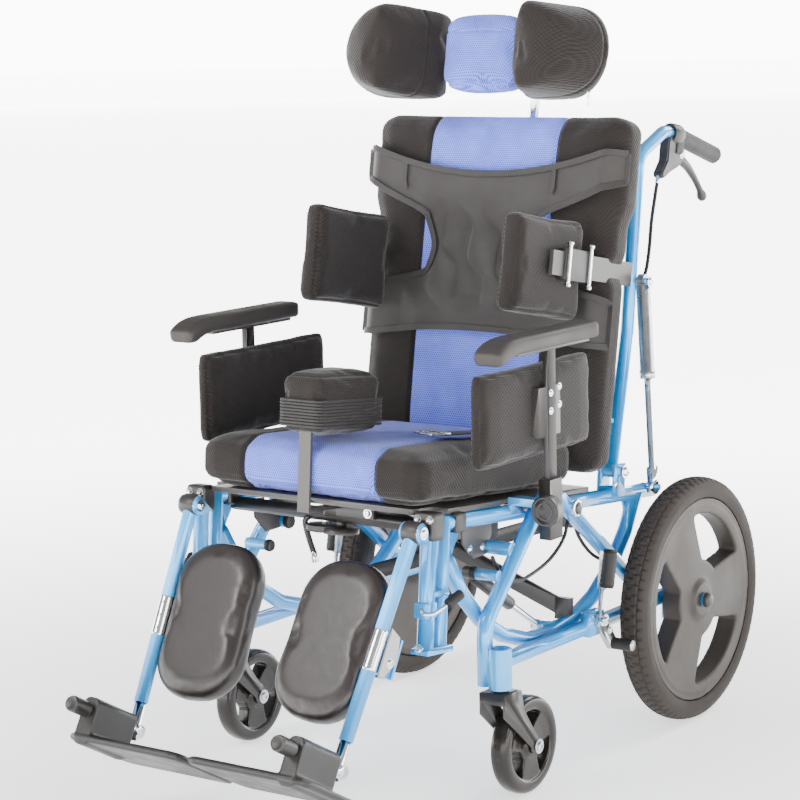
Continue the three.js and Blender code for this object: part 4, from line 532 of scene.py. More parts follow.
def pipe(points, radii, sides=18, place=Matrix(), step=None):
    """A round bar along points of a frame, with domed ends. Radii is one, a list, or found by station."""
    points = [place @ Vector(p) for p in points]
    if step:
        points = dense(points, step)
    if callable(radii):
        radii = [radii(k) for k in range(len(points))]
    elif not hasattr(radii, "__len__"):
        radii = [radii] * len(points)
    stations = []
    for k, point in enumerate(points):
        ahead = (points[min(k + 1, len(points) - 1)] - points[max(k - 1, 0)]).normalized()
        stations.append((point, ahead, radii[k]))
    dome = (0.5, 0.75 ** 0.5, 1.0)
    domes = []
    for (point, ahead, radius), way in ((stations[0], 1), (stations[-1], -1)):
        inset = [way * radius * 0.35 * ((1 - r) if r < 1 else 1) for r in dome]
        domes.append([(point + ahead * shift, ahead, radius * r) for shift, r in zip(inset, dome)])
    stations = domes[0] + stations[1:-1] + domes[1][::-1]
    form = bmesh.new()
    side = stations[0][1].orthogonal().normalized()
    rings = []
    for point, ahead, radius in stations:
        side = (side - ahead * side.dot(ahead)).normalized()
        up = ahead.cross(side)
        turns = [2 * math.pi * k / sides for k in range(sides)]
        rings.append([form.verts.new(point + side * (radius * math.cos(a)) + up * (radius * math.sin(a)))
                      for a in turns])
    skin(form, rings)
    return shaped(form, "pipe")


def joined(meshes, place=Matrix()):
    """Several meshes as one, moved to their place."""
    form = bmesh.new()
    for mesh in meshes:
        form.from_mesh(mesh)
    made = shaped(form, "joined", False)
    made.transform(place)
    return made


def moulded(name, dark, light, rough, grain_mm=1.1):
    """Injection moulded plastic: fine spark texture, faint flow clouds and paler proud edges that are a painted
    highlight.
    """
    finish, tree, place = new_finish(name)
    cloud, color = clouded(tree, place, 30.0, 4.0, dark, light)
    spark = node(tree, "ShaderNodeTexNoise", {"Vector": place, "Scale": 1000 / grain_mm, "Detail": 2.0})
    gloss = node(tree, "ShaderNodeMapRange", {
        "Value": cloud, "From Min": 0.3, "From Max": 0.7, "To Min": rough - 0.06, "To Max": rough + 0.1})
    bump = node(tree, "ShaderNodeBump", {"Height": spark.outputs["Fac"], "Strength": 0.16, "Distance": 0.0004})
    close_finish(tree, Base_Color=edge_highlight(tree, color, "#403c39", 0.52, 0.6, 0.4), Normal=bump.outputs["Normal"],
                 Roughness=gloss.outputs["Result"], Specular_IOR_Level=0.5)
    return finish


GRIP_RUBBER = rubber("dipped_rubber_sleeve", "#121010", "#1e1b19", 0.45, 0.68, 1.4)
BLACK_PLASTIC = moulded("glass_filled_nylon_black", "#131110", "#1f1c1a", 0.4)
dress(both("wheel_lock"), ZINC, "plated", 38)
for side, s in SIDES:
    body = body_of(f"wheel_lock_{side}")
    beside = Matrix.Translation((0, PIVOT.y, 0)) @ Matrix.Diagonal((s, 1, 1, 1))
    pivot_point, top = (beside @ Vector(p) for p in (LOCK_PIVOT, LOCK_TOP))
    way = (top - pivot_point).normalized()
    sleeve = [top - way * LOCK_SLEEVE[0], top + way * LOCK_SLEEVE[1]]
    link(f"wheel_lock_sleeve_{side}", pipe(sleeve, lambda k: 0.0112 + 0.0006 * (k % 2), 22, step=0.004), GRIP_RUBBER,
         body, 0)
    link(f"wheel_lock_shoe_{side}", pipe(LOCK_SHOE, 0.0096, 24, beside, 0.004), GRIP_RUBBER, body, 40)
    bolts(f"wheel_lock_bolt_{side}", body, [
        ((s * LOCK_BOLT_X, pivot_point.y, pivot_point.z), (s, 0, 0), 0.0062, 0.0045),
        ((s * LOCK_BOLT_X, pivot_point.y + 0.014, pivot_point.z - 0.018), (s, 0, 0), 0.0045, 0.0035)])

# The frame's own fittings: the zinc plated pivot tube with a black cap in a chrome ring at each end,
# the black cross brace, seat pan and front tube, and the gas springs that hold the tilt and the recline.
PIVOT_END_X = 0.2585
PIVOT_RING = ((0.0, 0.0088), (0.0, 0.0128), (0.0024, 0.0136), (0.0046, 0.0128), (0.0052, 0.0105), (0.0040, 0.0092))
PIVOT_CAP = ((0.0, 0.0002), (0.0, 0.0094), (0.0046, 0.0094), (0.0066, 0.0078), (0.0074, 0.0040), (0.0076, 0.0002))
for node_names, finish, ending, crease in (
    (["pivot_cross_tube"], ZINC, "plated", 38),
    (["cross_brace", "seat_pan", "seat_front_tube"], BLACK_STEEL, "coated", 38),
    (["tilt_spring_barrel"], BLACK_STEEL, "coated", 42),
    (["tilt_spring_rod"], CHROME, "ground", 42),
    (both("recline_barrel"), ZINC, "plated", 42),
    (both("recline_rod"), CHROME, "ground", 42),
    (["headrest_stem"], CHROME, "plated", 42),
    (both("armrest_post"), BLACK_STEEL, "coated", 38),
    (both("leg_slider"), CHROME, "plated", 42),
    (["pommel_bar"], BLACK_STEEL, "coated", 38),
):
    dress(node_names, finish, ending, crease)
for side, s in SIDES:
    centre = Vector((s * PIVOT_END_X, PIVOT.y, PIVOT.z))
    for name, section, closed, finish in (("ring", PIVOT_RING, True, CHROME), ("cap", PIVOT_CAP, False, BLACK_PLASTIC)):
        turned = spin([(s * along, radius) for along, radius in section], 48, closed, centre)
        link(f"pivot_{name}_{side}", turned, finish, "base", 45)

# The covers are spacer mesh: black over the bolsters, royal blue down the middle, sewn together.
# Its real cells are about 3 mm; they are drawn at 4 mm so that they can be seen in the render.
CELL_MM = 4.0
PANEL_HALF = 0.122
# A panel limit that no place lies within, and one that every place does.
ALL_BLACK, ALL_BLUE = -1.0, 9.0
BLUE_THREAD = "#6f80e0"
BLUE_CELL = "#3746a8"
BLACK_THREAD = "#211c1a"
BLACK_CELL = "#120f0e"
# The cells stand in staggered rows: the middle and the corner of a repeat of 1 by 2 * 0.866.
CELL_HALF = (0.5, 0.866, 0.5)
CELL_OFFSETS = ((0.0, 0.0, 0.0), (0.5, 0.866, 0.0))
CLOTH_FRAMES = 20
CLOTH_PRESSURE = 4.0


def spacer_mesh(name, panel):
    """Knitted spacer mesh: rows of staggered cells with a soft nap, blue as far out as the panel."""
    finish, tree, place = new_finish(name, True)
    weave = node(tree, "ShaderNodeAttribute", attribute_name="weave").outputs["Vector"]
    cells = node(tree, "ShaderNodeVectorMath", {0: weave, "Scale": 1000 / CELL_MM}, operation="SCALE")
    nearest = []
    for offset in CELL_OFFSETS:
        moved = node(tree, "ShaderNodeVectorMath", {0: cells.outputs["Vector"], 1: offset}, operation="ADD")
        wrapped = node(tree, "ShaderNodeVectorMath", {
            0: moved.outputs["Vector"], 1: CELL_HALF, 2: [-size for size in CELL_HALF]}, operation="WRAP")
        nearest.append(node(tree, "ShaderNodeVectorMath", {0: wrapped.outputs["Vector"]}, operation="LENGTH"))
    reach = node(tree, "ShaderNodeMath", {0: nearest[0].outputs["Value"], 1: nearest[1].outputs["Value"]},
                 operation="MINIMUM")
    thread = node(tree, "ShaderNodeMapRange", {
        "Value": reach.outputs["Value"], "From Min": 0.2, "From Max": 0.42},
        interpolation_type="SMOOTHSTEP").outputs["Result"]
    cloud = node(tree, "ShaderNodeTexNoise", {"Vector": place, "Scale": 26.0, "Detail": 6.0, "Roughness": 0.6})
    nap = node(tree, "ShaderNodeTexNoise", {"Vector": place, "Scale": 900.0, "Detail": 2.0})
    split = node(tree, "ShaderNodeSeparateXYZ", {"Vector": place})
    across = node(tree, "ShaderNodeMath", {0: split.outputs["X"]}, operation="ABSOLUTE")
    black, blue = (
        node(tree, "ShaderNodeMixRGB", {"Fac": thread, "Color1": linear(cell), "Color2": linear(ridge)})
        for cell, ridge in ((BLACK_CELL, BLACK_THREAD), (BLUE_CELL, BLUE_THREAD)))
    inside = node(tree, "ShaderNodeMath", {0: across.outputs["Value"], 1: panel}, operation="LESS_THAN")
    both_colors = node(tree, "ShaderNodeMixRGB", {
        "Fac": inside.outputs["Value"], "Color1": black.outputs["Color"], "Color2": blue.outputs["Color"]})
    shade = node(tree, "ShaderNodeMapRange", {
        "Value": cloud.outputs["Fac"], "From Min": 0.3, "From Max": 0.7, "To Min": 0.86, "To Max": 1.12})
    tinted = node(tree, "ShaderNodeVectorMath", {
        0: both_colors.outputs["Color"], "Scale": shade.outputs["Result"]}, operation="SCALE")
    height = node(tree, "ShaderNodeMath", {0: nap.outputs["Fac"], 1: 0.25, 2: thread}, operation="MULTIPLY_ADD")
    bump = node(tree, "ShaderNodeBump", {"Height": height.outputs["Value"], "Strength": 0.5, "Distance": 0.0009})
    close_finish(tree, Base_Color=tinted.outputs["Vector"], Roughness=0.88, Normal=bump.outputs["Normal"],
                 Sheen_Weight=0.22, Sheen_Roughness=0.4, Specular_IOR_Level=0.25)
    return finish


def swell(mesh, voxel, cap):
    """Blown up as cloth from its own shape; no point moves further than the cap."""
    pad = add_object("pad", mesh)
    remeshed(pad, voxel, 4)
    even = evaluated(pad)
    pad.modifiers.clear()
    pad.data = even
    rest = [vertex.co.copy() for vertex in even.vertices]
    cloth = pad.modifiers.new("cloth", "CLOTH")
    cloth.settings.use_pressure = True
    cloth.settings.uniform_pressure_force = CLOTH_PRESSURE
    cloth.settings.effector_weights.gravity = 0
    for frame_number in range(1, CLOTH_FRAMES + 1):
        bpy.context.scene.frame_set(frame_number)
    blown = pad.evaluated_get(bpy.context.evaluated_depsgraph_get())
    moved = [vertex.co.copy() for vertex in blown.data.vertices]
    pad.modifiers.clear()
    bpy.context.scene.frame_set(1)
    for vertex, start, end in zip(even.vertices, rest, moved):
        step = end - start
        vertex.co = start + (step.normalized() * min(step.length, cap) if step.length > 1e-7 else step)
    bpy.data.objects.remove(pad)
    return even


def extent(mesh):
    """The low and the high corner of a mesh."""
    return [Vector([pick(v.co[i] for v in mesh.vertices) for i in range(3)]) for pick in (min, max)]


def fitted(mesh, low, high):
    """Scaled along each axis so that it fills the given box."""
    start, end = extent(mesh)
    for vertex in mesh.vertices:
        for i in range(3):
            share = (vertex.co[i] - start[i]) / (end[i] - start[i])
            vertex.co[i] = low[i] + share * (high[i] - low[i])
    return mesh


def rounded_block(low, high, radius, cell=0.006):
    """A block with rounded edges, made of even quads."""
    size = [high[i] - low[i] for i in range(3)]
    counts = [max(2, round(d / cell)) for d in size]
    form = bmesh.new()
    seen = {}

    def corner(key):
        if key not in seen:
            raw = Vector([low[n] + size[n] * key[n] / counts[n] for n in range(3)])
            core = Vector([min(max(raw[n], low[n] + radius), high[n] - radius) for n in range(3)])
            push = raw - core
            seen[key] = form.verts.new(core + push.normalized() * radius if push.length > 1e-9 else raw)
        return seen[key]

    for axis in range(3):
        a, b = (axis + 1) % 3, (axis + 2) % 3
        for end in (0, counts[axis]):
            for i in range(counts[a]):
                for j in range(counts[b]):
                    quad = []
                    for di, dj in ((0, 0), (1, 0), (1, 1), (0, 1)):
                        key = [0, 0, 0]
                        key[axis], key[a], key[b] = end, i + di, j + dj
                        quad.append(corner(tuple(key)))
                    form.faces.new(quad)
    return shaped(form, "block")


def block(low, high, radius, cell, place, s=1):
    """A rounded block in a frame. Its corners are given for the left side, and s mirrors it."""
    near, far = sorted((s * low[0], s * high[0]))
    made = rounded_block(Vector((near, *low[1:])), Vector((far, *high[1:])), radius, cell)
    made.transform(place)
    return made


def sewn(mesh, groove, depth):
    """Pulls the surface in by up to the depth where the groove function says 1."""
    mesh.update()
    normals = [vertex.normal.copy() for vertex in mesh.vertices]
    for vertex, normal in zip(mesh.vertices, normals):
        vertex.co -= normal * (depth * groove(vertex.co))


def cover(mesh, flow):
    """Stores each point's place in its local frame, and where its cloth lies: one function of the place."""
    places = mesh.attributes.new("place", "FLOAT_VECTOR", "POINT")
    weave = mesh.attributes.new("weave", "FLOAT_VECTOR", "POINT")
    for k, vertex in enumerate(mesh.vertices):
        places.data[k].vector = vertex.co
        weave.data[k].vector = Vector((*flow(vertex.co), 0.0))


def finer(mesh):
    """One round of subdivision, applied."""
    scratch = add_object("scratch", mesh)
    scratch.modifiers.new("finer", "SUBSURF").levels = 1
    made = evaluated(scratch)
    bpy.data.objects.remove(scratch)
    return made


def line(value, at, half):
    """1 on a line, falling to 0 at half a seam's width on either side."""
    off = abs(value - at) / half
    return 0.0 if off >= 1 else (1 - off * off) ** 2


def clamped(share):
    """The share, kept between 0 and 1."""
    return min(1.0, max(0.0, share))


def eased(share):
    """A share from 0 to 1 that starts and ends softly."""
    return share * share * (3 - 2 * share)


def upholster(name, node_name, place, finish, body, voxel, cap, flow, groove, depth, grow=0.0, shift=(0, 0, 0),
              shape=None, after=None):
    """A soft piece that stands for a CAD solid: swollen, fitted to its space, sewn and covered."""
    mesh = welded(node_name)
    mesh.transform(place.inverted())
    low, high = extent(mesh)
    if shape:
        mesh = solid_mesh(mesh, (), voxel, 1)
        shape(mesh)
    grown, shift = Vector((grow, 0, 0)), Vector(shift)
    mesh = finer(fitted(swell(mesh, voxel, cap), low - grown + shift, high + grown + shift))
    if after:
        after(mesh)
    sewn(mesh, groove, depth)
    cover(mesh, flow)
    mesh.transform(place)
    link(name, mesh, finish, body, 0, node_name)


def over_the_top(p):
    """How the cloth of a cushion lies: across it, and over its front and top in one piece."""
    return p.x, p.y + p.z


SEAT_MESH = spacer_mesh("spacer_mesh_black_and_blue", PANEL_HALF)
PLAIN_MESH = spacer_mesh("spacer_mesh_black", ALL_BLACK)
BLUE_MESH = spacer_mesh("spacer_mesh_blue", ALL_BLUE)

# Seat and back cushions: foam in zipped covers, each with its blue panel sewn in by two long seams.
# They lie on the seat pan and on the back's plate, held by touch tape under the cover.
SEAM_HALF = 0.006
EDGE_SEAM_HALF = 0.004
SHOULDER_LOW, SHOULDER_RISE, SHOULDER_OUT = 0.385, 0.045, 0.011


def broad_shoulders(mesh):
    """Widens the back cushion above the side arms, where it reaches out over the posts."""
    for vertex in mesh.vertices:
        rise = clamped((vertex.co.z - SHOULDER_LOW) / SHOULDER_RISE)
        reach = clamped((abs(vertex.co.x) - 0.13) / 0.09)
        vertex.co.x += math.copysign(SHOULDER_OUT * eased(rise) * reach, vertex.co.x)


upholster(
    "seat_cushion_cover", "seat_cushion", SEAT, SEAT_MESH, "seat", 0.006, 0.009, over_the_top,
    lambda p: max(line(abs(p.x), PANEL_HALF, SEAM_HALF), 0.5 * line(p.z, 0.030, EDGE_SEAM_HALF)), 0.0045, 0.006)
upholster(
    "back_cushion_cover", "back_cushion", BACK, SEAT_MESH, "back", 0.006, 0.009, over_the_top,
    lambda p: max(line(abs(p.x), PANEL_HALF, SEAM_HALF), 0.5 * line(p.y, -0.034, EDGE_SEAM_HALF)), 0.004, 0.008,
    after=broad_shoulders)

# The headrest: a blue pad between two black wings, zipped covers over foam. A chrome puller hangs from
# the left wing's zip, and the seam of each wing runs round its outer edge.
WING_ROUND = 0.082
# A wing runs outward and forward, this much of each along its length.
WING_OUT, WING_FORWARD = 0.813, 0.582
# The zip puller's slider and tab, each as two corners from the puller's own middle.
ZIP_PULLER = (0.226, -0.186, 0.585)
ZIP_PARTS = (((-0.0022, -0.004, -0.0045), (0.0022, 0.004, 0.0045), 0.0015),
             ((-0.001, -0.0035, -0.0175), (0.001, 0.0025, -0.004), 0.0009))


def round_ends(mesh):
    """Narrows a wing towards its outer and its forward end, as a half disc seen from either."""
    heights = [vertex.co.z for vertex in mesh.vertices]
    middle = (min(heights) + max(heights)) / 2
    measures = (lambda p: abs(p.x), lambda p: WING_OUT * abs(p.x) - WING_FORWARD * p.y)
    tips = [max(measure(vertex.co) for vertex in mesh.vertices) for measure in measures]
    for vertex in mesh.vertices:
        share = max((measure(vertex.co) - tip) / WING_ROUND + 1 for measure, tip in zip(measures, tips))
        share = min(0.985, max(0.0, share))
        vertex.co.z = middle + (vertex.co.z - middle) * (1 - share ** 2.3) ** 0.5


upholster(
    "head_pad_cover", "head_pad", BACK, BLUE_MESH, "headrest", 0.005, 0.006, over_the_top,
    lambda p: line(p.z, 0.690, EDGE_SEAM_HALF) + line(p.z, 0.606, EDGE_SEAM_HALF), 0.0022)
for side, s in SIDES:
    upholster(
        f"head_wing_cover_{side}", f"head_wing_{side}", BACK, PLAIN_MESH, f"wing_{side}", 0.005, 0.005,
        lambda p: (p.x - p.y * (1 if p.x > 0 else -1), p.z), lambda p: line(p.y, -0.182, EDGE_SEAM_HALF), 0.0022,
        shape=round_ends)
puller = BACK @ Vector(ZIP_PULLER)
link("head_wing_zip_puller_left", joined([
    rounded_block(puller + Vector(low), puller + Vector(high), radius, 0.002) for low, high, radius in ZIP_PARTS
]), CHROME, "wing_left", 40)

# Lateral pads: firm foam in black stretch cover with a sewn groove by each face, on a black slide with
# two chrome pins, which runs along a grey steel arm fixed to the back.
LATERAL_PAD = ((0.168, -0.325, 0.233), (0.2105, -0.121, 0.390))
LATERAL_SLIDE = ((0.2125, -0.216, 0.2925), (0.2285, -0.139, 0.3435))
LATERAL_ARM = ((0.2172, -0.247, 0.2985), (0.2249, -0.004, 0.3375))
LATERAL_SEAMS = (0.176, 0.203)
THIN_SEAM_HALF = 0.0035
PIN_X = 0.2305
# Each part of a pin: its two ends up the back, the length of its steps and its radius.
PIN_PARTS = ((0.286, 0.350, 0.004, 0.0036), (0.2825, 0.2885, 0.002, 0.0052), (0.3475, 0.3535, 0.002, 0.0052))


def round_the_side(p):
    """How the cloth of a side pad lies: along it and round its edge, and up it."""
    return p.y + abs(p.x), p.z


GREY_STEEL = powder_coat("grey_powder_coat_on_steel", "#2d2a28", "#3a3735")
for side, s in SIDES:
    body = f"lateral_{side}"
    near, far = sorted(s * corner[0] for corner in LATERAL_PAD)
    low, high = Vector((near, *LATERAL_PAD[0][1:])), Vector((far, *LATERAL_PAD[1][1:]))
    pad = finer(fitted(swell(rounded_block(low, high, 0.014), 0.005, 0.004), low, high))
    sewn(pad, lambda p: sum(line(abs(p.x), at, THIN_SEAM_HALF) for at in LATERAL_SEAMS), 0.002)
    cover(pad, round_the_side)
    pad.transform(BACK)
    link(f"lateral_pad_cover_{side}", pad, PLAIN_MESH, body, 0, f"lateral_pad_{side}")
    link(f"lateral_slide_{side}", block(*LATERAL_SLIDE, 0.003, 0.006, BACK, s), BLACK_PLASTIC, body, 40)
    link(f"lateral_slide_pins_{side}", joined([
        pipe([(s * PIN_X, y, start), (s * PIN_X, y, end)], radius, 16, step=step)
        for y in (-0.146, -0.209) for start, end, step, radius in PIN_PARTS], BACK), CHROME, body, 40)
    link(f"lateral_arm_{side}", block(*LATERAL_ARM, 0.0012, 0.008, BACK, s), GREY_STEEL, "back", 40)

# The chest harness: a neoprene vest with a curved upper band, a narrow waist that hangs in folds and a
# lower band, all edged with binding tape. Its bands go round the back cushion's sides.
NEOPRENE_DARK = "#191614"
NEOPRENE_LIGHT = "#292523"
VEST_THICK = 0.0045
VEST_ACROSS, VEST_UP = 132, 84
BACK_FRONT = -0.1072
# The half widths of the vest, and the heights up the back between which it goes over from one to another.
BAND_HALF, NECK_HALF, WAIST_HALF, LOWER_HALF = 0.2495, 0.098, 0.084, 0.2385
BAND_LOW, NECK_TOP, WAIST, NECK_LOW = 0.430, 0.392, 0.352, 0.318
HEM_HIGH, HEM_LOW, TOP_MIDDLE = 0.232, 0.212, 0.464
BINDING_LIFT = Vector((0, 0.0036, 0))
BINDING_STEPS = 60
# A strap's section: shares of its width and of its thickness.
STRAP_SECTION = ((-0.5, 0.0), (-0.5, 0.7), (-0.46, 1.0), (0.46, 1.0), (0.5, 0.7), (0.5, 0.0))


def neoprene(name):
    """Laminated neoprene: a fine knit face that goes shiny where it is stretched."""
    finish, tree, place = new_finish(name, True)
    cloud, color = clouded(tree, place, 18.0, 5.0, NEOPRENE_DARK, NEOPRENE_LIGHT, 0.6)
    knit = node(tree, "ShaderNodeTexWave", {"Vector": place, "Scale": 260.0, "Distortion": 1.5},
                bands_direction="Z")
    rough = node(tree, "ShaderNodeMapRange", {
        "Value": cloud, "From Min": 0.3, "From Max": 0.7, "To Min": 0.62, "To Max": 0.82})
    bump = node(tree, "ShaderNodeBump", {"Height": knit.outputs["Fac"], "Strength": 0.18, "Distance": 0.0004})
    close_finish(tree, Base_Color=color, Roughness=rough.outputs["Result"], Normal=bump.outputs["Normal"],
                 Sheen_Weight=0.25, Sheen_Roughness=0.45)
    return finish


def vest_edges(v):
    """How far the vest reaches to each side of the middle at a height up the back."""
    if v >= BAND_LOW:
        return BAND_HALF
    if v >= NECK_TOP:
        return BAND_HALF - (BAND_HALF - NECK_HALF) * eased((BAND_LOW - v) / 0.038) ** 0.8
    if v >= NECK_LOW:
        return WAIST_HALF + 0.014 * min(abs(v - WAIST) / 0.038, 1.0) ** 2
    return NECK_HALF + (LOWER_HALF - NECK_HALF) * eased(min(1.0, (NECK_LOW - v) / 0.036))


def vest_point(a, b):
    """A point of the vest's face: a runs across from -1 to 1, b from its lower hem to its upper edge."""
    x = a * vest_edges(HEM_HIGH + b * (TOP_MIDDLE - HEM_HIGH))
    top = TOP_MIDDLE + 0.040 * min(1.0, abs(x) / 0.225) ** 2
    low = HEM_LOW - 0.016 * min(1.0, abs(x) / 0.2) ** 2
    v = low + b * (top - low)
    wrap = max(0.0, abs(x) - (0.217 if v > 0.385 else 0.206))
    y = BACK_FRONT - 0.0035 + (wrap / 0.0325) ** 1.6 * 0.030
    fold = 0.0
    if v < 0.43:
        swing = math.sin(x * 66 + v * 21) * 0.6 + math.sin(x * 37 - v * 55 + 1.3) * 0.4
        fold = math.copysign(0.0090 * abs(swing) ** 0.7, swing)
        fold *= min(1.0, (0.43 - v) / 0.06) * clamped((v - 0.236) / 0.03)
    by_pads = clamped((abs(x) - 0.115) / 0.035) * clamped((0.425 - v) / 0.03)
    forward = 0.004 + fold + 0.003 * (1 - min(1.0, abs(x) / 0.2) ** 2)
    return Vector((x, y - forward * (1 - by_pads) - 0.0012 * by_pads, v))


def vest_mesh():
    """The vest with its thickness, and the flat width, height and area of its cloth."""
    form = bmesh.new()
    across, up = VEST_ACROSS, VEST_UP
    grid = [[form.verts.new(vest_point(-1 + 2 * i / across, j / up)) for i in range(across + 1)]
            for j in range(up + 1)]
    for j in range(up):
        for i in range(across):
            form.faces.new((grid[j][i], grid[j][i + 1], grid[j + 1][i + 1], grid[j + 1][i]))
    area = sum(face.calc_area() for face in form.faces)
    rows = [sum((grid[j][i + 1].co - grid[j][i].co).length for i in range(across)) for j in range(up + 1)]
    tall = [sum((grid[j + 1][i].co - grid[j][i].co).length for j in range(up)) for i in range(0, across + 1, 6)]
    bmesh.ops.recalc_face_normals(form, faces=form.faces)
    bmesh.ops.solidify(form, geom=form.faces[:], thickness=VEST_THICK)
    return shaped(form, "vest", False), max(rows), max(tall), area


def ribbon(points, up, width, thick):
    """A flat strap along points, with its face turned up."""
    form = bmesh.new()
    rings = []
    for k, point in enumerate(points):
        ahead = (points[min(k + 1, len(points) - 1)] - points[max(k - 1, 0)]).normalized()
        face = Vector(up)
        face = (face - ahead * face.dot(ahead)).normalized()
        side = ahead.cross(face)
        rings.append([form.verts.new(point + side * (width * sx) + face * (thick * su)) for sx, su in STRAP_SECTION])
    skin(form, rings)
    return shaped(form, "ribbon")


def webbing(name, dark, light, pitch_mm):
    """Woven polyester webbing: fine ribs across, a soft sheen on the ridges."""
    finish, tree, place = new_finish(name)
    weave = node(tree, "ShaderNodeTexWave", {"Vector": place, "Scale": 320 / pitch_mm, "Distortion": 0.6},
                 bands_direction="DIAGONAL")
    _, color = clouded(tree, place, 40.0, 4.0, dark, light)
    bump = node(tree, "ShaderNodeBump", {"Height": weave.outputs["Fac"], "Strength": 0.4, "Distance": 0.0005})
    close_finish(tree, Base_Color=color, Roughness=0.68, Normal=bump.outputs["Normal"],
                 Sheen_Weight=0.15, Sheen_Roughness=0.4)
    return finish


NEOPRENE = neoprene("laminated_neoprene_vest")
WEBBING = webbing("polyester_webbing", "#161312", "#24201e", 1.6)
vest, vest_wide, vest_tall, vest_area = vest_mesh()
cover(vest, lambda p: (p.x, p.z))
vest.transform(BACK)
vest_piece = link("chest_harness_vest", vest, NEOPRENE, "back", 0, "chest_harness")
hem = [k / BINDING_STEPS for k in range(BINDING_STEPS + 1)]
edgings = [([(2 * share - 1, b) for share in hem], 0.010, 0.0016) for b in (0.0, 1.0)]
edgings += [([(a, share) for share in hem], 0.010, 0.0016) for a in (-1.0, 1.0)]
edgings += [([(x / LOWER_HALF, b) for b in (0.84, 0.88, 0.92, 0.96, 1.0)], 0.007, 0.0014) for x in (0.128, -0.150)]
link("chest_harness_binding", joined([
    ribbon([vest_point(a, b) - BINDING_LIFT for a, b in path], (0, -1, 0), width, thick)
    for path, width, thick in edgings], BACK), WEBBING, "back", 40)

# Armrests: drop nosed pads of self skinned polyurethane foam on flat black steel posts in black sockets,
# with side pads of foam under black stretch cover screwed to the posts by small steel brackets.
HIP_SEAMS = (0.008, 0.027)
ARM_FOAM = rubber("self_skinned_polyurethane", "#272422", "#34302d", 0.48, 0.68, 2.0)
for side, s in SIDES:
    pad = solid_mesh(welded(f"armrest_pad_{side}"), (), 0.0028, 8)
    link(f"armrest_pad_{side}_moulded", pad, ARM_FOAM, f"armrest_{side}", 0, f"armrest_pad_{side}")
    inner = min(abs((SEAT.inverted() @ corner).x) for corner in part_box(f"hip_pad_{side}"))
    upholster(
        f"hip_pad_cover_{side}", f"hip_pad_{side}", SEAT, PLAIN_MESH, f"armrest_{side}", 0.005, 0.004, round_the_side,
        lambda p: sum(line(abs(p.x), inner + out, THIN_SEAM_HALF) for out in HIP_SEAMS), 0.0022)
    dress([f"armrest_socket_{side}"], BLACK_STEEL, "coated", 40)

# The pommel: a firm block under black stretch cover with a band of ribbed webbing round it.
RIB_LOW, RIB_PITCH, RIB_COUNT = 0.131, 0.0047, 9
# The left half of one rib's path round the pommel, from behind to the middle of its front.
RIB_HALF = ((0.0560, -0.243), (0.0375, -0.3705), (0.034, -0.3745))
upholster(
    "pommel_pad_cover", "pommel_pad", SEAT, PLAIN_MESH, "pommel", 0.004, 0.003,
    lambda p: (p.x + p.y, p.z), lambda p: line(p.z, 0.205, EDGE_SEAM_HALF), 0.002)
rib_path = [(-x, y) for x, y in RIB_HALF] + list(reversed(RIB_HALF))
link("pommel_belt", joined([
    pipe([(x, y, RIB_LOW + level * RIB_PITCH) for x, y in rib_path], 0.0021, 8, step=0.008)
    for level in range(RIB_COUNT)], SEAT), WEBBING, "pommel", 0)

# Calf pads: vinyl pulled over foam on a board, stapled behind, with a piped seam round the rim.
VINYL_DARK = "#15100e"
VINYL_LIGHT = "#241c19"


def vinyl(name):
    """Expanded vinyl: a leather grain with small creases, a little gloss on the crown."""
    finish, tree, place = new_finish(name, True)
    _, color = clouded(tree, place, 12.0, 5.0, VINYL_DARK, VINYL_LIGHT)
    hide = node(tree, "ShaderNodeTexVoronoi", {"Vector": place, "Scale": 520.0}, feature="DISTANCE_TO_EDGE")
    crease = node(tree, "ShaderNodeTexNoise", {"Vector": place, "Scale": 70.0, "Detail": 6.0, "Roughness": 0.7})
    rough = node(tree, "ShaderNodeMapRange", {
        "Value": crease.outputs["Fac"], "From Min": 0.3, "From Max": 0.7, "To Min": 0.3, "To Max": 0.46})
    height = node(tree, "ShaderNodeMath", {0: hide.outputs["Distance"], 1: 0.4, 2: crease.outputs["Fac"]},
                  operation="MULTIPLY_ADD")
    bump = node(tree, "ShaderNodeBump", {"Height": height.outputs["Value"], "Strength": 0.16, "Distance": 0.0012})
    close_finish(tree, Base_Color=color, Roughness=rough.outputs["Result"], Normal=bump.outputs["Normal"],
                 Coat_Weight=0.1, Coat_Roughness=0.25)
    return finish


VINYL = vinyl("expanded_vinyl_upholstery")
for side, s in SIDES:
    upholster(
        f"calf_pad_cover_{side}", f"calf_pad_{side}", LEGS[side], VINYL, f"leg_{side}", 0.005, 0.004,
        lambda p: (p.x + p.y, p.z), lambda p: line(p.y, 0.030, THIN_SEAM_HALF), 0.0024, 0.0, (0, -0.005, 0.004))

# Hangers: a black clamp cap over the pivot of each leg, held by two chrome screws, and a chrome curved
# lever with a black handle that lets the hanger swing out.
HANGER_CAP = ((0.1975, -0.3535, -0.0215), (0.2345, -0.3235, 0.0205))
HANGER_LUG = ((0.204, -0.3560, -0.136), (0.226, -0.3250, -0.112))
RELEASE_ARM = ((0.2160, -0.3520, -0.118), (0.2240, -0.3590, -0.128), (0.2380, -0.3500, -0.126),
               (0.2480, -0.3300, -0.112))
RELEASE_HANDLE = ((0.2470, -0.3320, -0.1135), (0.2560, -0.3080, -0.098))
FORWARD = (0, -1, 0.15)
BEND_STEPS = 7


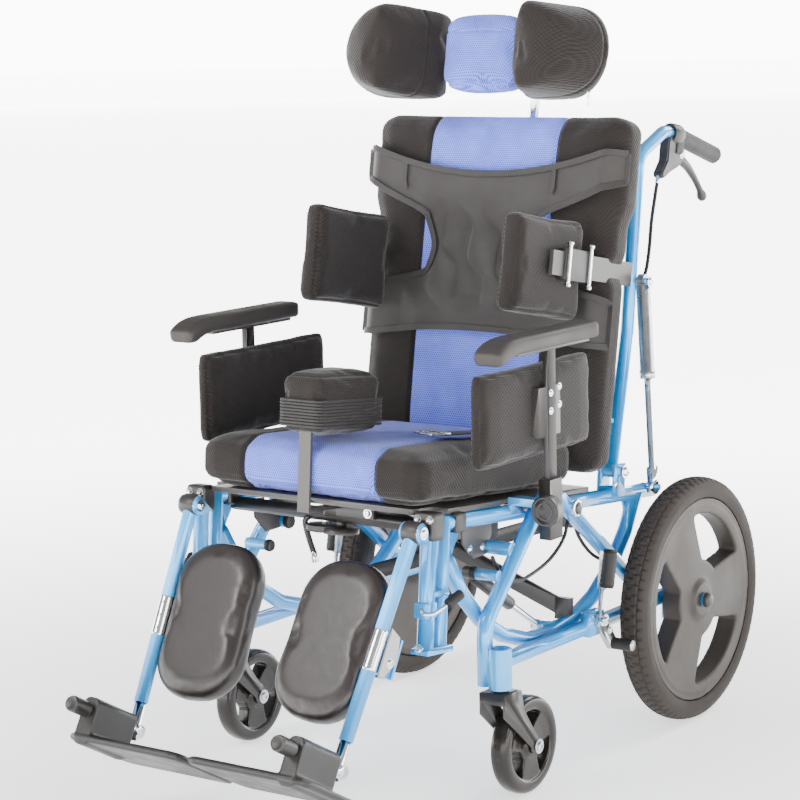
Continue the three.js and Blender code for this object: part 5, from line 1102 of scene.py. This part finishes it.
def bent(corners, reach):
    """Points along a path of straight runs whose corners are rounded over the given reach."""
    corners = [Vector(c) for c in corners]
    path = [corners[0]]
    for before, here, after in zip(corners, corners[1:], corners[2:]):
        start, end = (here + (other - here).normalized() * reach for other in (before, after))
        for k in range(BEND_STEPS + 1):
            f = k / BEND_STEPS
            path.append(start * (1 - f) ** 2 + here * (2 * f * (1 - f)) + end * f ** 2)
    return path + [corners[-1]]


def mirrored(points, s):
    """Points given for the left side, on the side that s says."""
    return [Vector((s * x, y, z)) for x, y, z in points]


for side, s in SIDES:
    body = f"hanger_body_{side}"
    knee = SEAT.inverted() @ LEGS[side]
    link(f"hanger_cap_{side}", block(*HANGER_CAP, 0.006, 0.004, SEAT, s), BLACK_PLASTIC, body, 50)
    link(f"leg_pivot_cap_{side}", pipe(mirrored(((-0.0155, 0, 0), (0.0165, 0, 0)), s), 0.0165, 28, LEGS[side]),
         BLACK_PLASTIC, body, 40)
    bolts(f"hanger_screws_{side}", body, [
        ((s * 0.2055, -0.3535, 0.010), FORWARD, 0.0042, 0.003),
        ((s * 0.2265, -0.3535, 0.010), FORWARD, 0.0042, 0.003),
        (knee @ Vector((s * 0.0178, 0, 0)), (s, 0, 0), 0.0062, 0.004),
        (knee @ Vector((-s * 0.0170, 0, 0)), (-s, 0, 0), 0.0062, 0.004),
        ((s * 0.2150, -0.3550, -0.180), FORWARD, 0.0052, 0.0035)], CHROME, SEAT)
    link(f"hanger_release_arm_{side}", pipe(bent(mirrored(RELEASE_ARM, s), 0.006), 0.0032, 12, SEAT), CHROME, body, 0)
    link(f"hanger_release_handle_{side}", pipe(mirrored(RELEASE_HANDLE, s), 0.0078, 18, SEAT, 0.004), GRIP_RUBBER,
         body, 0)
    link(f"hanger_release_lug_{side}", block(*HANGER_LUG, 0.003, 0.004, SEAT, s), LACQUER, body, 40)

# Legs: the chrome tube shows through the middle of each blue tube with its row of holes, beside the
# pressed aluminium plate that carries the calf pad. Below it are the moulded footplates.
PLATE_OUTLINE = ((0.004, -0.143), (0.030, -0.150), (0.040, -0.186), (0.020, -0.214), (0.006, -0.216))
ANKLE_ALONG = 0.358
HOLE_ALONG, HOLE_PITCH, HOLE_COUNT = 0.160, 0.020, 3
RIB_INNER, RIB_OUTER = 0.020, 0.165
ALUMINIUM = bright_metal("blasted_aluminium_plate", "#9a9b99", "#b9bab7", 0.42, 0.55)
for side, s in SIDES:
    place, body = LEGS[side], f"leg_{side}"

    def shin(along):
        """A point of the leg tube's middle line, which leans inward."""
        return place @ Vector((-s * along * math.sin(LEG_INWARD), 0, -along * math.cos(LEG_INWARD)))

    link(f"leg_index_tube_{side}", pipe([shin(0.147), shin(0.213)], 0.01135, 28, step=0.006), CHROME, body, 50)
    forward = (place.to_3x3() @ Vector((0, -1, 0))).normalized()
    holes = [shin(HOLE_ALONG + HOLE_PITCH * k) + forward * 0.0106 for k in range(HOLE_COUNT)]
    # Each hole is drawn as a black disc on the tube: painted shade for the dark inside of the hole.
    link(f"leg_index_holes_{side}", joined([
        pipe([at - forward * 0.0012, at + forward * 0.0010], 0.0036, 16) for at in holes]), BLACK_PLASTIC, body, 40)
    link(f"calf_plate_{side}",
         slab(PLATE_OUTLINE, s * 0.0132, s * 0.0014, 0.0009, place, 2, s * math.sin(LEG_INWARD)), ALUMINIUM, body, 40)
    bolts(f"calf_plate_bolt_{side}", body, [((s * 0.0040, 0.024, -0.190), (s, 0, 0), 0.0055, 0.004)], CHROME, place)
    body = f"foot_{side}"
    link(f"footplate_{side}_moulded", solid_mesh(welded(f"footplate_{side}"), (), 0.0022, 4), BLACK_PLASTIC, body, 0,
         f"footplate_{side}")
    ankle = place.inverted() @ shin(ANKLE_ALONG)
    inner, outer = sorted((s * RIB_INNER, s * RIB_OUTER))
    tread_top = ankle.z - 0.0355
    link(f"footplate_ribs_{side}", joined([
        rounded_block(Vector((inner - s * LEG_PIVOT[0], y, tread_top - 0.002)),
                      Vector((outer - s * LEG_PIVOT[0], y + 0.006, tread_top + 0.003)), 0.0015, 0.01)
        for y in (-0.094 + 0.020 * k for k in range(7))], place), BLACK_PLASTIC, body, 40)
    link(f"foot_hinge_knob_{side}",
         pipe([(ankle.x, -0.1135, ankle.z), (ankle.x, -0.1530, ankle.z)], 0.0122, 26, place, 0.005), BLACK_PLASTIC,
         body_of(f"leg_slider_{side}"), 40)

# Push handles: ribbed rubber grips pushed over the ends of the back posts. Screws: chrome domes on the
# hinges, struts and armrest brackets, and a clamp knob with two grey rings on each armrest socket.
KNOB_RING = ((-0.001, -0.0016), (-0.001, 0.0016), (0.0014, 0.0011), (0.0014, -0.0011))
# The armrest's screws: behind the middle of its post, and above the floor.
ARM_SCREWS = ((-0.012, 0.585), (-0.012, 0.612), (0.012, 0.592), (0.012, 0.619))
for side, s in SIDES:
    grip = f"push_grip_{side}"
    link(f"{grip}_ribbed", solid_mesh(welded(grip), (), 0.0022, 3), GRIP_RUBBER, body_of(grip), 0, grip)
for side, s in SIDES:
    out = (s, 0, 0)
    bolts(f"back_hinge_bolts_{side}", "seat", [
        ((s * 0.2405, 0.180, 0.042), out, 0.0072, 0.005), ((s * 0.2295, 0.168, 0.020), out, 0.0048, 0.0035)],
        CHROME, SEAT)
    low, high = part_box(f"recline_barrel_{side}")
    bolts(f"strut_top_bolt_{side}", f"recline_barrel_body_{side}", [
        ((high.x if s > 0 else low.x, low.y + 0.0115, high.z - 0.0115), out, 0.0058, 0.004)])
    low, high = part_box(f"armrest_post_{side}")
    bolts(f"armrest_screws_{side}", f"armrest_{side}", [
        ((high.x if s > 0 else low.x, (low.y + high.y) / 2 + behind, z), out, 0.0036, 0.0026)
        for behind, z in ARM_SCREWS])
    knob_face = Matrix.Translation((s * 0.298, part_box(f"armrest_socket_{side}")[0].y, PIVOT.z + 0.025))
    link(f"armrest_knob_rings_{side}", joined([
        spin([(along, middle + reach) for along, reach in KNOB_RING], 48, True) for middle in (0.0125, 0.0205)
    ], knob_face @ Matrix.Rotation(math.radians(-90), 4, "Z")), GREY_STEEL, body_of(f"armrest_socket_{side}"), 40)

# Axle ends: a domed nut cover of black nylon, pressed on the end of each rear axle.
AXLE_COVER = ((0.0, 0.0002), (0.0, 0.0125), (0.006, 0.0122), (0.0088, 0.0095), (0.0098, 0.0050), (0.0100, 0.0002))
AXLE_COVER_X = 0.3125
for side, s in SIDES:
    centre = WHEEL_CENTRES[side]
    link(f"axle_cover_{side}", spin([(s * along, radius) for along, radius in AXLE_COVER], 40, False,
                                    Vector((s * AXLE_COVER_X, centre.y, centre.z))), BLACK_PLASTIC, "base", 40)

# The back's shell: a black coated board behind the cushion, screwed to the posts' two cross tubes.
BACK_SHELL = ((-0.1975, -0.0162, 0.0325), (0.1975, -0.0015, 0.5015))
link("back_shell", block(*BACK_SHELL, 0.0055, 0.012, BACK), BLACK_PLASTIC, "back", 40)
bolts("back_shell_screws", "back", [
    ((x, -0.0012, v), (0, 1, 0), 0.0050, 0.0034) for x in (-0.178, 0.0, 0.178) for v in (0.060, 0.265, 0.486)],
    CHROME, BACK)

# Release levers: a black die cast clamp round the bar behind each bend, with a curved blade that ends
# in a ball. A sheathed cable runs from the top of the recline strut up the post into the clamp.
HANDLE_X = 0.215
CLAMP_SHAPE = ((0.086, 0.560), (0.0975, 0.577), (0.124, 0.577), (0.128, 0.550), (0.1386, 0.5377), (0.1414, 0.5214),
               (0.125, 0.508), (0.100, 0.497), (0.084, 0.486), (0.072, 0.482), (0.069, 0.492), (0.0835, 0.5146),
               (0.0835, 0.538))
CLAMP_HALF = 0.0095
COLLAR = ((HANDLE_X, 0.094, 0.5600), (HANDLE_X, 0.127, 0.5600))
BLADE = [(HANDLE_X, y, z) for y, z in (
    (0.130, 0.526), (0.150, 0.519), (0.171, 0.511), (0.199, 0.494), (0.220, 0.477), (0.231, 0.465))]
BLADE_RADII = [0.0088 - 0.0034 * min(1.0, k / 14) for k in range(18)] + [0.0060, 0.0080, 0.0086, 0.0070]
FERRULE = ((HANDLE_X, 0.0735, 0.4870), (0.2155, 0.0700, 0.4740))
RELEASE_CABLE = (
    (0.2370, 0.0160, 0.3180), (0.2340, 0.0270, 0.3360), (0.2270, 0.0420, 0.3700), (0.2200, 0.0540, 0.4100),
    (0.2165, 0.0650, 0.4520), (0.2155, 0.0715, 0.4800), (0.2150, 0.0860, 0.5080), (0.2150, 0.1060, 0.5320))
RELEASE_CABLE_WIDE = 0.0062
CURVE_STEPS = 24


def curve_through(points, count, place=Matrix()):
    """Evenly spread points on a smooth curve through those given in a frame, and its length."""
    points = [place @ Vector(p) for p in points]
    padded = [points[0] * 2 - points[1]] + points + [points[-1] * 2 - points[-2]]
    fine = []
    for a, b, c, d in zip(padded, padded[1:], padded[2:], padded[3:]):
        for k in range(CURVE_STEPS):
            f = k / CURVE_STEPS
            fine.append(0.5 * ((2 * b) + (c - a) * f + (2 * a - 5 * b + 4 * c - d) * f ** 2
                               + (3 * b - a - 3 * c + d) * f ** 3))
    fine.append(points[-1])
    spans = [0.0]
    for here, there in zip(fine, fine[1:]):
        spans.append(spans[-1] + (there - here).length)
    even, k = [], 0
    for n in range(count):
        goal = spans[-1] * n / (count - 1)
        while k < len(spans) - 2 and spans[k + 1] < goal:
            k += 1
        share = (goal - spans[k]) / max(1e-9, spans[k + 1] - spans[k])
        even.append(fine[k].lerp(fine[k + 1], share))
    return even, spans[-1]


def lay_cable(name, body, points, count, place, wide):
    """A sheathed cable through points of a frame, as a piece."""
    route, length = curve_through(points, count, place)
    cable = link(name, pipe(route, wide / 2, 12), CABLE_SHEATH, body, 0)


CABLE_SHEATH = rubber("pvc_cable_sheath", "#131110", "#211e1c", 0.35, 0.5, 1.0)
for side, s in SIDES:
    link(f"handle_clamp_{side}", slab(CLAMP_SHAPE, s * HANDLE_X, CLAMP_HALF, 0.0028, BACK), BLACK_PLASTIC, "back", 40)
    link(f"handle_collar_{side}", pipe(mirrored(COLLAR, s), 0.0178, 28, BACK), BLACK_PLASTIC, "back", 50)
    blade, _ = curve_through(mirrored(BLADE, s), 22, BACK)
    link(f"release_blade_{side}", pipe(blade, BLADE_RADII, 18), BLACK_PLASTIC, body_of(f"release_lever_{side}"), 0,
         f"release_lever_{side}")
    bolts(f"release_pin_{side}", "back", [
        ((s * (HANDLE_X + CLAMP_HALF), 0.128, 0.528), (s, 0, 0), 0.0040, 0.0026),
        ((s * (HANDLE_X + CLAMP_HALF), 0.106, 0.568), (s, 0, 0), 0.0034, 0.0024)], CHROME, BACK)
    link(f"cable_ferrule_{side}", pipe(mirrored(FERRULE, s), 0.0040, 14, BACK), CHROME, "back", 40)
    lay_cable(f"release_cable_{side}", "back", mirrored(RELEASE_CABLE, s), 28, BACK, RELEASE_CABLE_WIDE)

# Under the seat on each side: rubber caps on the stubs of the base, black clamps and gussets with chrome
# bolts on the rails, and on the left two loops of sheathed cable. Each stub is given by its distance
# behind the pivot, its height, its radius and how far out its cap begins.
STUBS = ((-0.157, 0.372, 0.0122, 0.187), (-0.194, 0.338, 0.0100, 0.199))
RAIL_CLAMP = ((0.1985, -0.288, -0.0155), (0.2315, -0.262, 0.0150))
GUSSET = ((-0.230, -0.015), (-0.150, -0.015), (-0.146, -0.030), (-0.160, -0.062), (-0.196, -0.066), (-0.226, -0.040))
RAIL_BOLTS = ((0.2002, -0.172, -0.050, 0.0042, 0.003), (0.2002, -0.206, -0.050, 0.0042, 0.003),
              (0.2285, 0.0, 0.0, 0.0050, 0.0035))
TILT_CABLE_WIDE = 0.0058
TILT_CABLES = (
    ("front", ((0.2290, 0.026, -0.022), (0.2330, 0.010, -0.050), (0.2350, -0.030, -0.078), (0.2350, -0.080, -0.096),
               (0.2330, -0.125, -0.104), (0.2260, -0.158, -0.090), (0.2180, -0.172, -0.062))),
    ("rear", ((0.2290, 0.040, -0.020), (0.2320, 0.056, -0.052), (0.2320, 0.090, -0.080), (0.2300, 0.130, -0.097),
              (0.2270, 0.175, -0.106), (0.2240, 0.219, -0.117))),
)
for side, s in SIDES:
    for behind, z, radius, reach in STUBS:
        link(f"stub_cap_{side}_{round(z * 1000)}",
             pipe([(s * x, PIVOT.y + behind, z) for x in (reach + 0.004, reach - 0.007)], radius, 24), GRIP_RUBBER,
             "base", 50)
    link(f"rail_clamp_{side}", block(*RAIL_CLAMP, 0.004, 0.004, SEAT, s), BLACK_PLASTIC, "seat", 50)
    link(f"rail_gusset_{side}", slab(GUSSET, s * 0.1985, 0.0016, 0.0008, SEAT), BLACK_STEEL, "seat", 40)
    bolts(f"rail_bolts_{side}", "seat", [
        ((s * x, y, z), (s, 0, 0), radius, height) for x, y, z, radius, height in RAIL_BOLTS], CHROME, SEAT)
for name, path in TILT_CABLES:
    lay_cable(f"tilt_cable_{name}", "seat", path, 30, SEAT, TILT_CABLE_WIDE)

# The pommel's clamp: a black hand disc on the front tube with its chrome screw and a folding lever that
# ends in a chrome nut, beside the black block that holds the pommel's bar with a chrome bolt.
DISC_SECTION = ((-0.0055, 0.0002), (-0.0055, 0.026), (-0.0040, 0.0290), (0.0030, 0.0295), (0.0055, 0.0270),
                (0.0055, 0.0002))
DISC_PLACE = SEAT @ Matrix.Translation((-0.031, -0.262, -0.0345)) @ Matrix.Rotation(math.radians(90), 4, "Y")
CLAMP_SCREW = ((-0.031, -0.262, -0.040), (-0.031, -0.262, -0.010))
CLAMP_LEVER = ((-0.056, -0.270, -0.020), (-0.062, -0.272, -0.028), (-0.054, -0.272, -0.052), (-0.042, -0.272, -0.078))
CLAMP_BLOCK = ((0.004, -0.284, -0.012), (0.076, -0.240, 0.0105))
LEVER_NUT = ((-0.0435, -0.272, -0.073), (-0.0400, -0.272, -0.090))
STRAIGHT_DOWN = SEAT.to_3x3().inverted() @ Vector((0, 0, -1))
disc = spin(DISC_SECTION, 48, False)
disc.transform(DISC_PLACE)
link("pommel_hand_disc", disc, BLACK_PLASTIC, "seat", 40)
link("pommel_clamp_screw", pipe(CLAMP_SCREW, 0.0052, 20, SEAT), CHROME, "seat", 40)
link("pommel_clamp_lever", pipe(curve_through(CLAMP_LEVER, 14, SEAT)[0], 0.0046, 14), BLACK_STEEL, "seat", 40)
link("pommel_clamp_block", block(*CLAMP_BLOCK, 0.003, 0.006, SEAT), BLACK_STEEL, "seat", 40)
bolts("pommel_clamp_bolts", "seat", [
    ((0.066, -0.285, -0.002), (0, -1, 0), 0.0050, 0.0036),
    ((-0.040, -0.266, -0.0405), STRAIGHT_DOWN, 0.0055, 0.004)], CHROME, SEAT)
link("pommel_lever_nut", pipe(LEVER_NUT, 0.0054, 12, SEAT), CHROME, "seat", 40)

# The hip belt: two lengths of webbing from under the side pads, each ending in a chrome adjuster.
BELT_PATH = ((0.198, 0.040, 0.0925), (0.190, 0.020, 0.1115), (0.165, -0.050, 0.1150), (0.140, -0.120, 0.1155),
             (0.118, -0.180, 0.1150))
BELT_WIDE, BELT_THICK = 0.038, 0.0022
ADJUSTER_HALF, ADJUSTER_UP, WIRE_RADIUS = 0.023, Vector((0, 0, 0.0030)), 0.0021
for side, s in SIDES:
    path, _ = curve_through(mirrored(BELT_PATH, s), 40)
    belt = ribbon(path, (0, 0, 1), BELT_WIDE, BELT_THICK)
    belt.transform(SEAT)
    link(f"hip_belt_{side}", belt, WEBBING, "seat", 40)
    end = path[-1] + ADJUSTER_UP
    ahead = (path[-1] - path[-4]).normalized()
    across = ahead.cross(Vector((0, 0, 1))).normalized() * ADJUSTER_HALF
    bars = [(end + ahead * step - across, end + ahead * step + across) for step in (-0.006, 0.012, 0.028)]
    bars += [(end + ahead * -0.007 + across * turn, end + ahead * 0.029 + across * turn) for turn in (-1, 1)]
    link(f"hip_belt_adjuster_{side}", joined([pipe(bar, WIRE_RADIUS, 10) for bar in bars], SEAT), CHROME, "seat", 0)
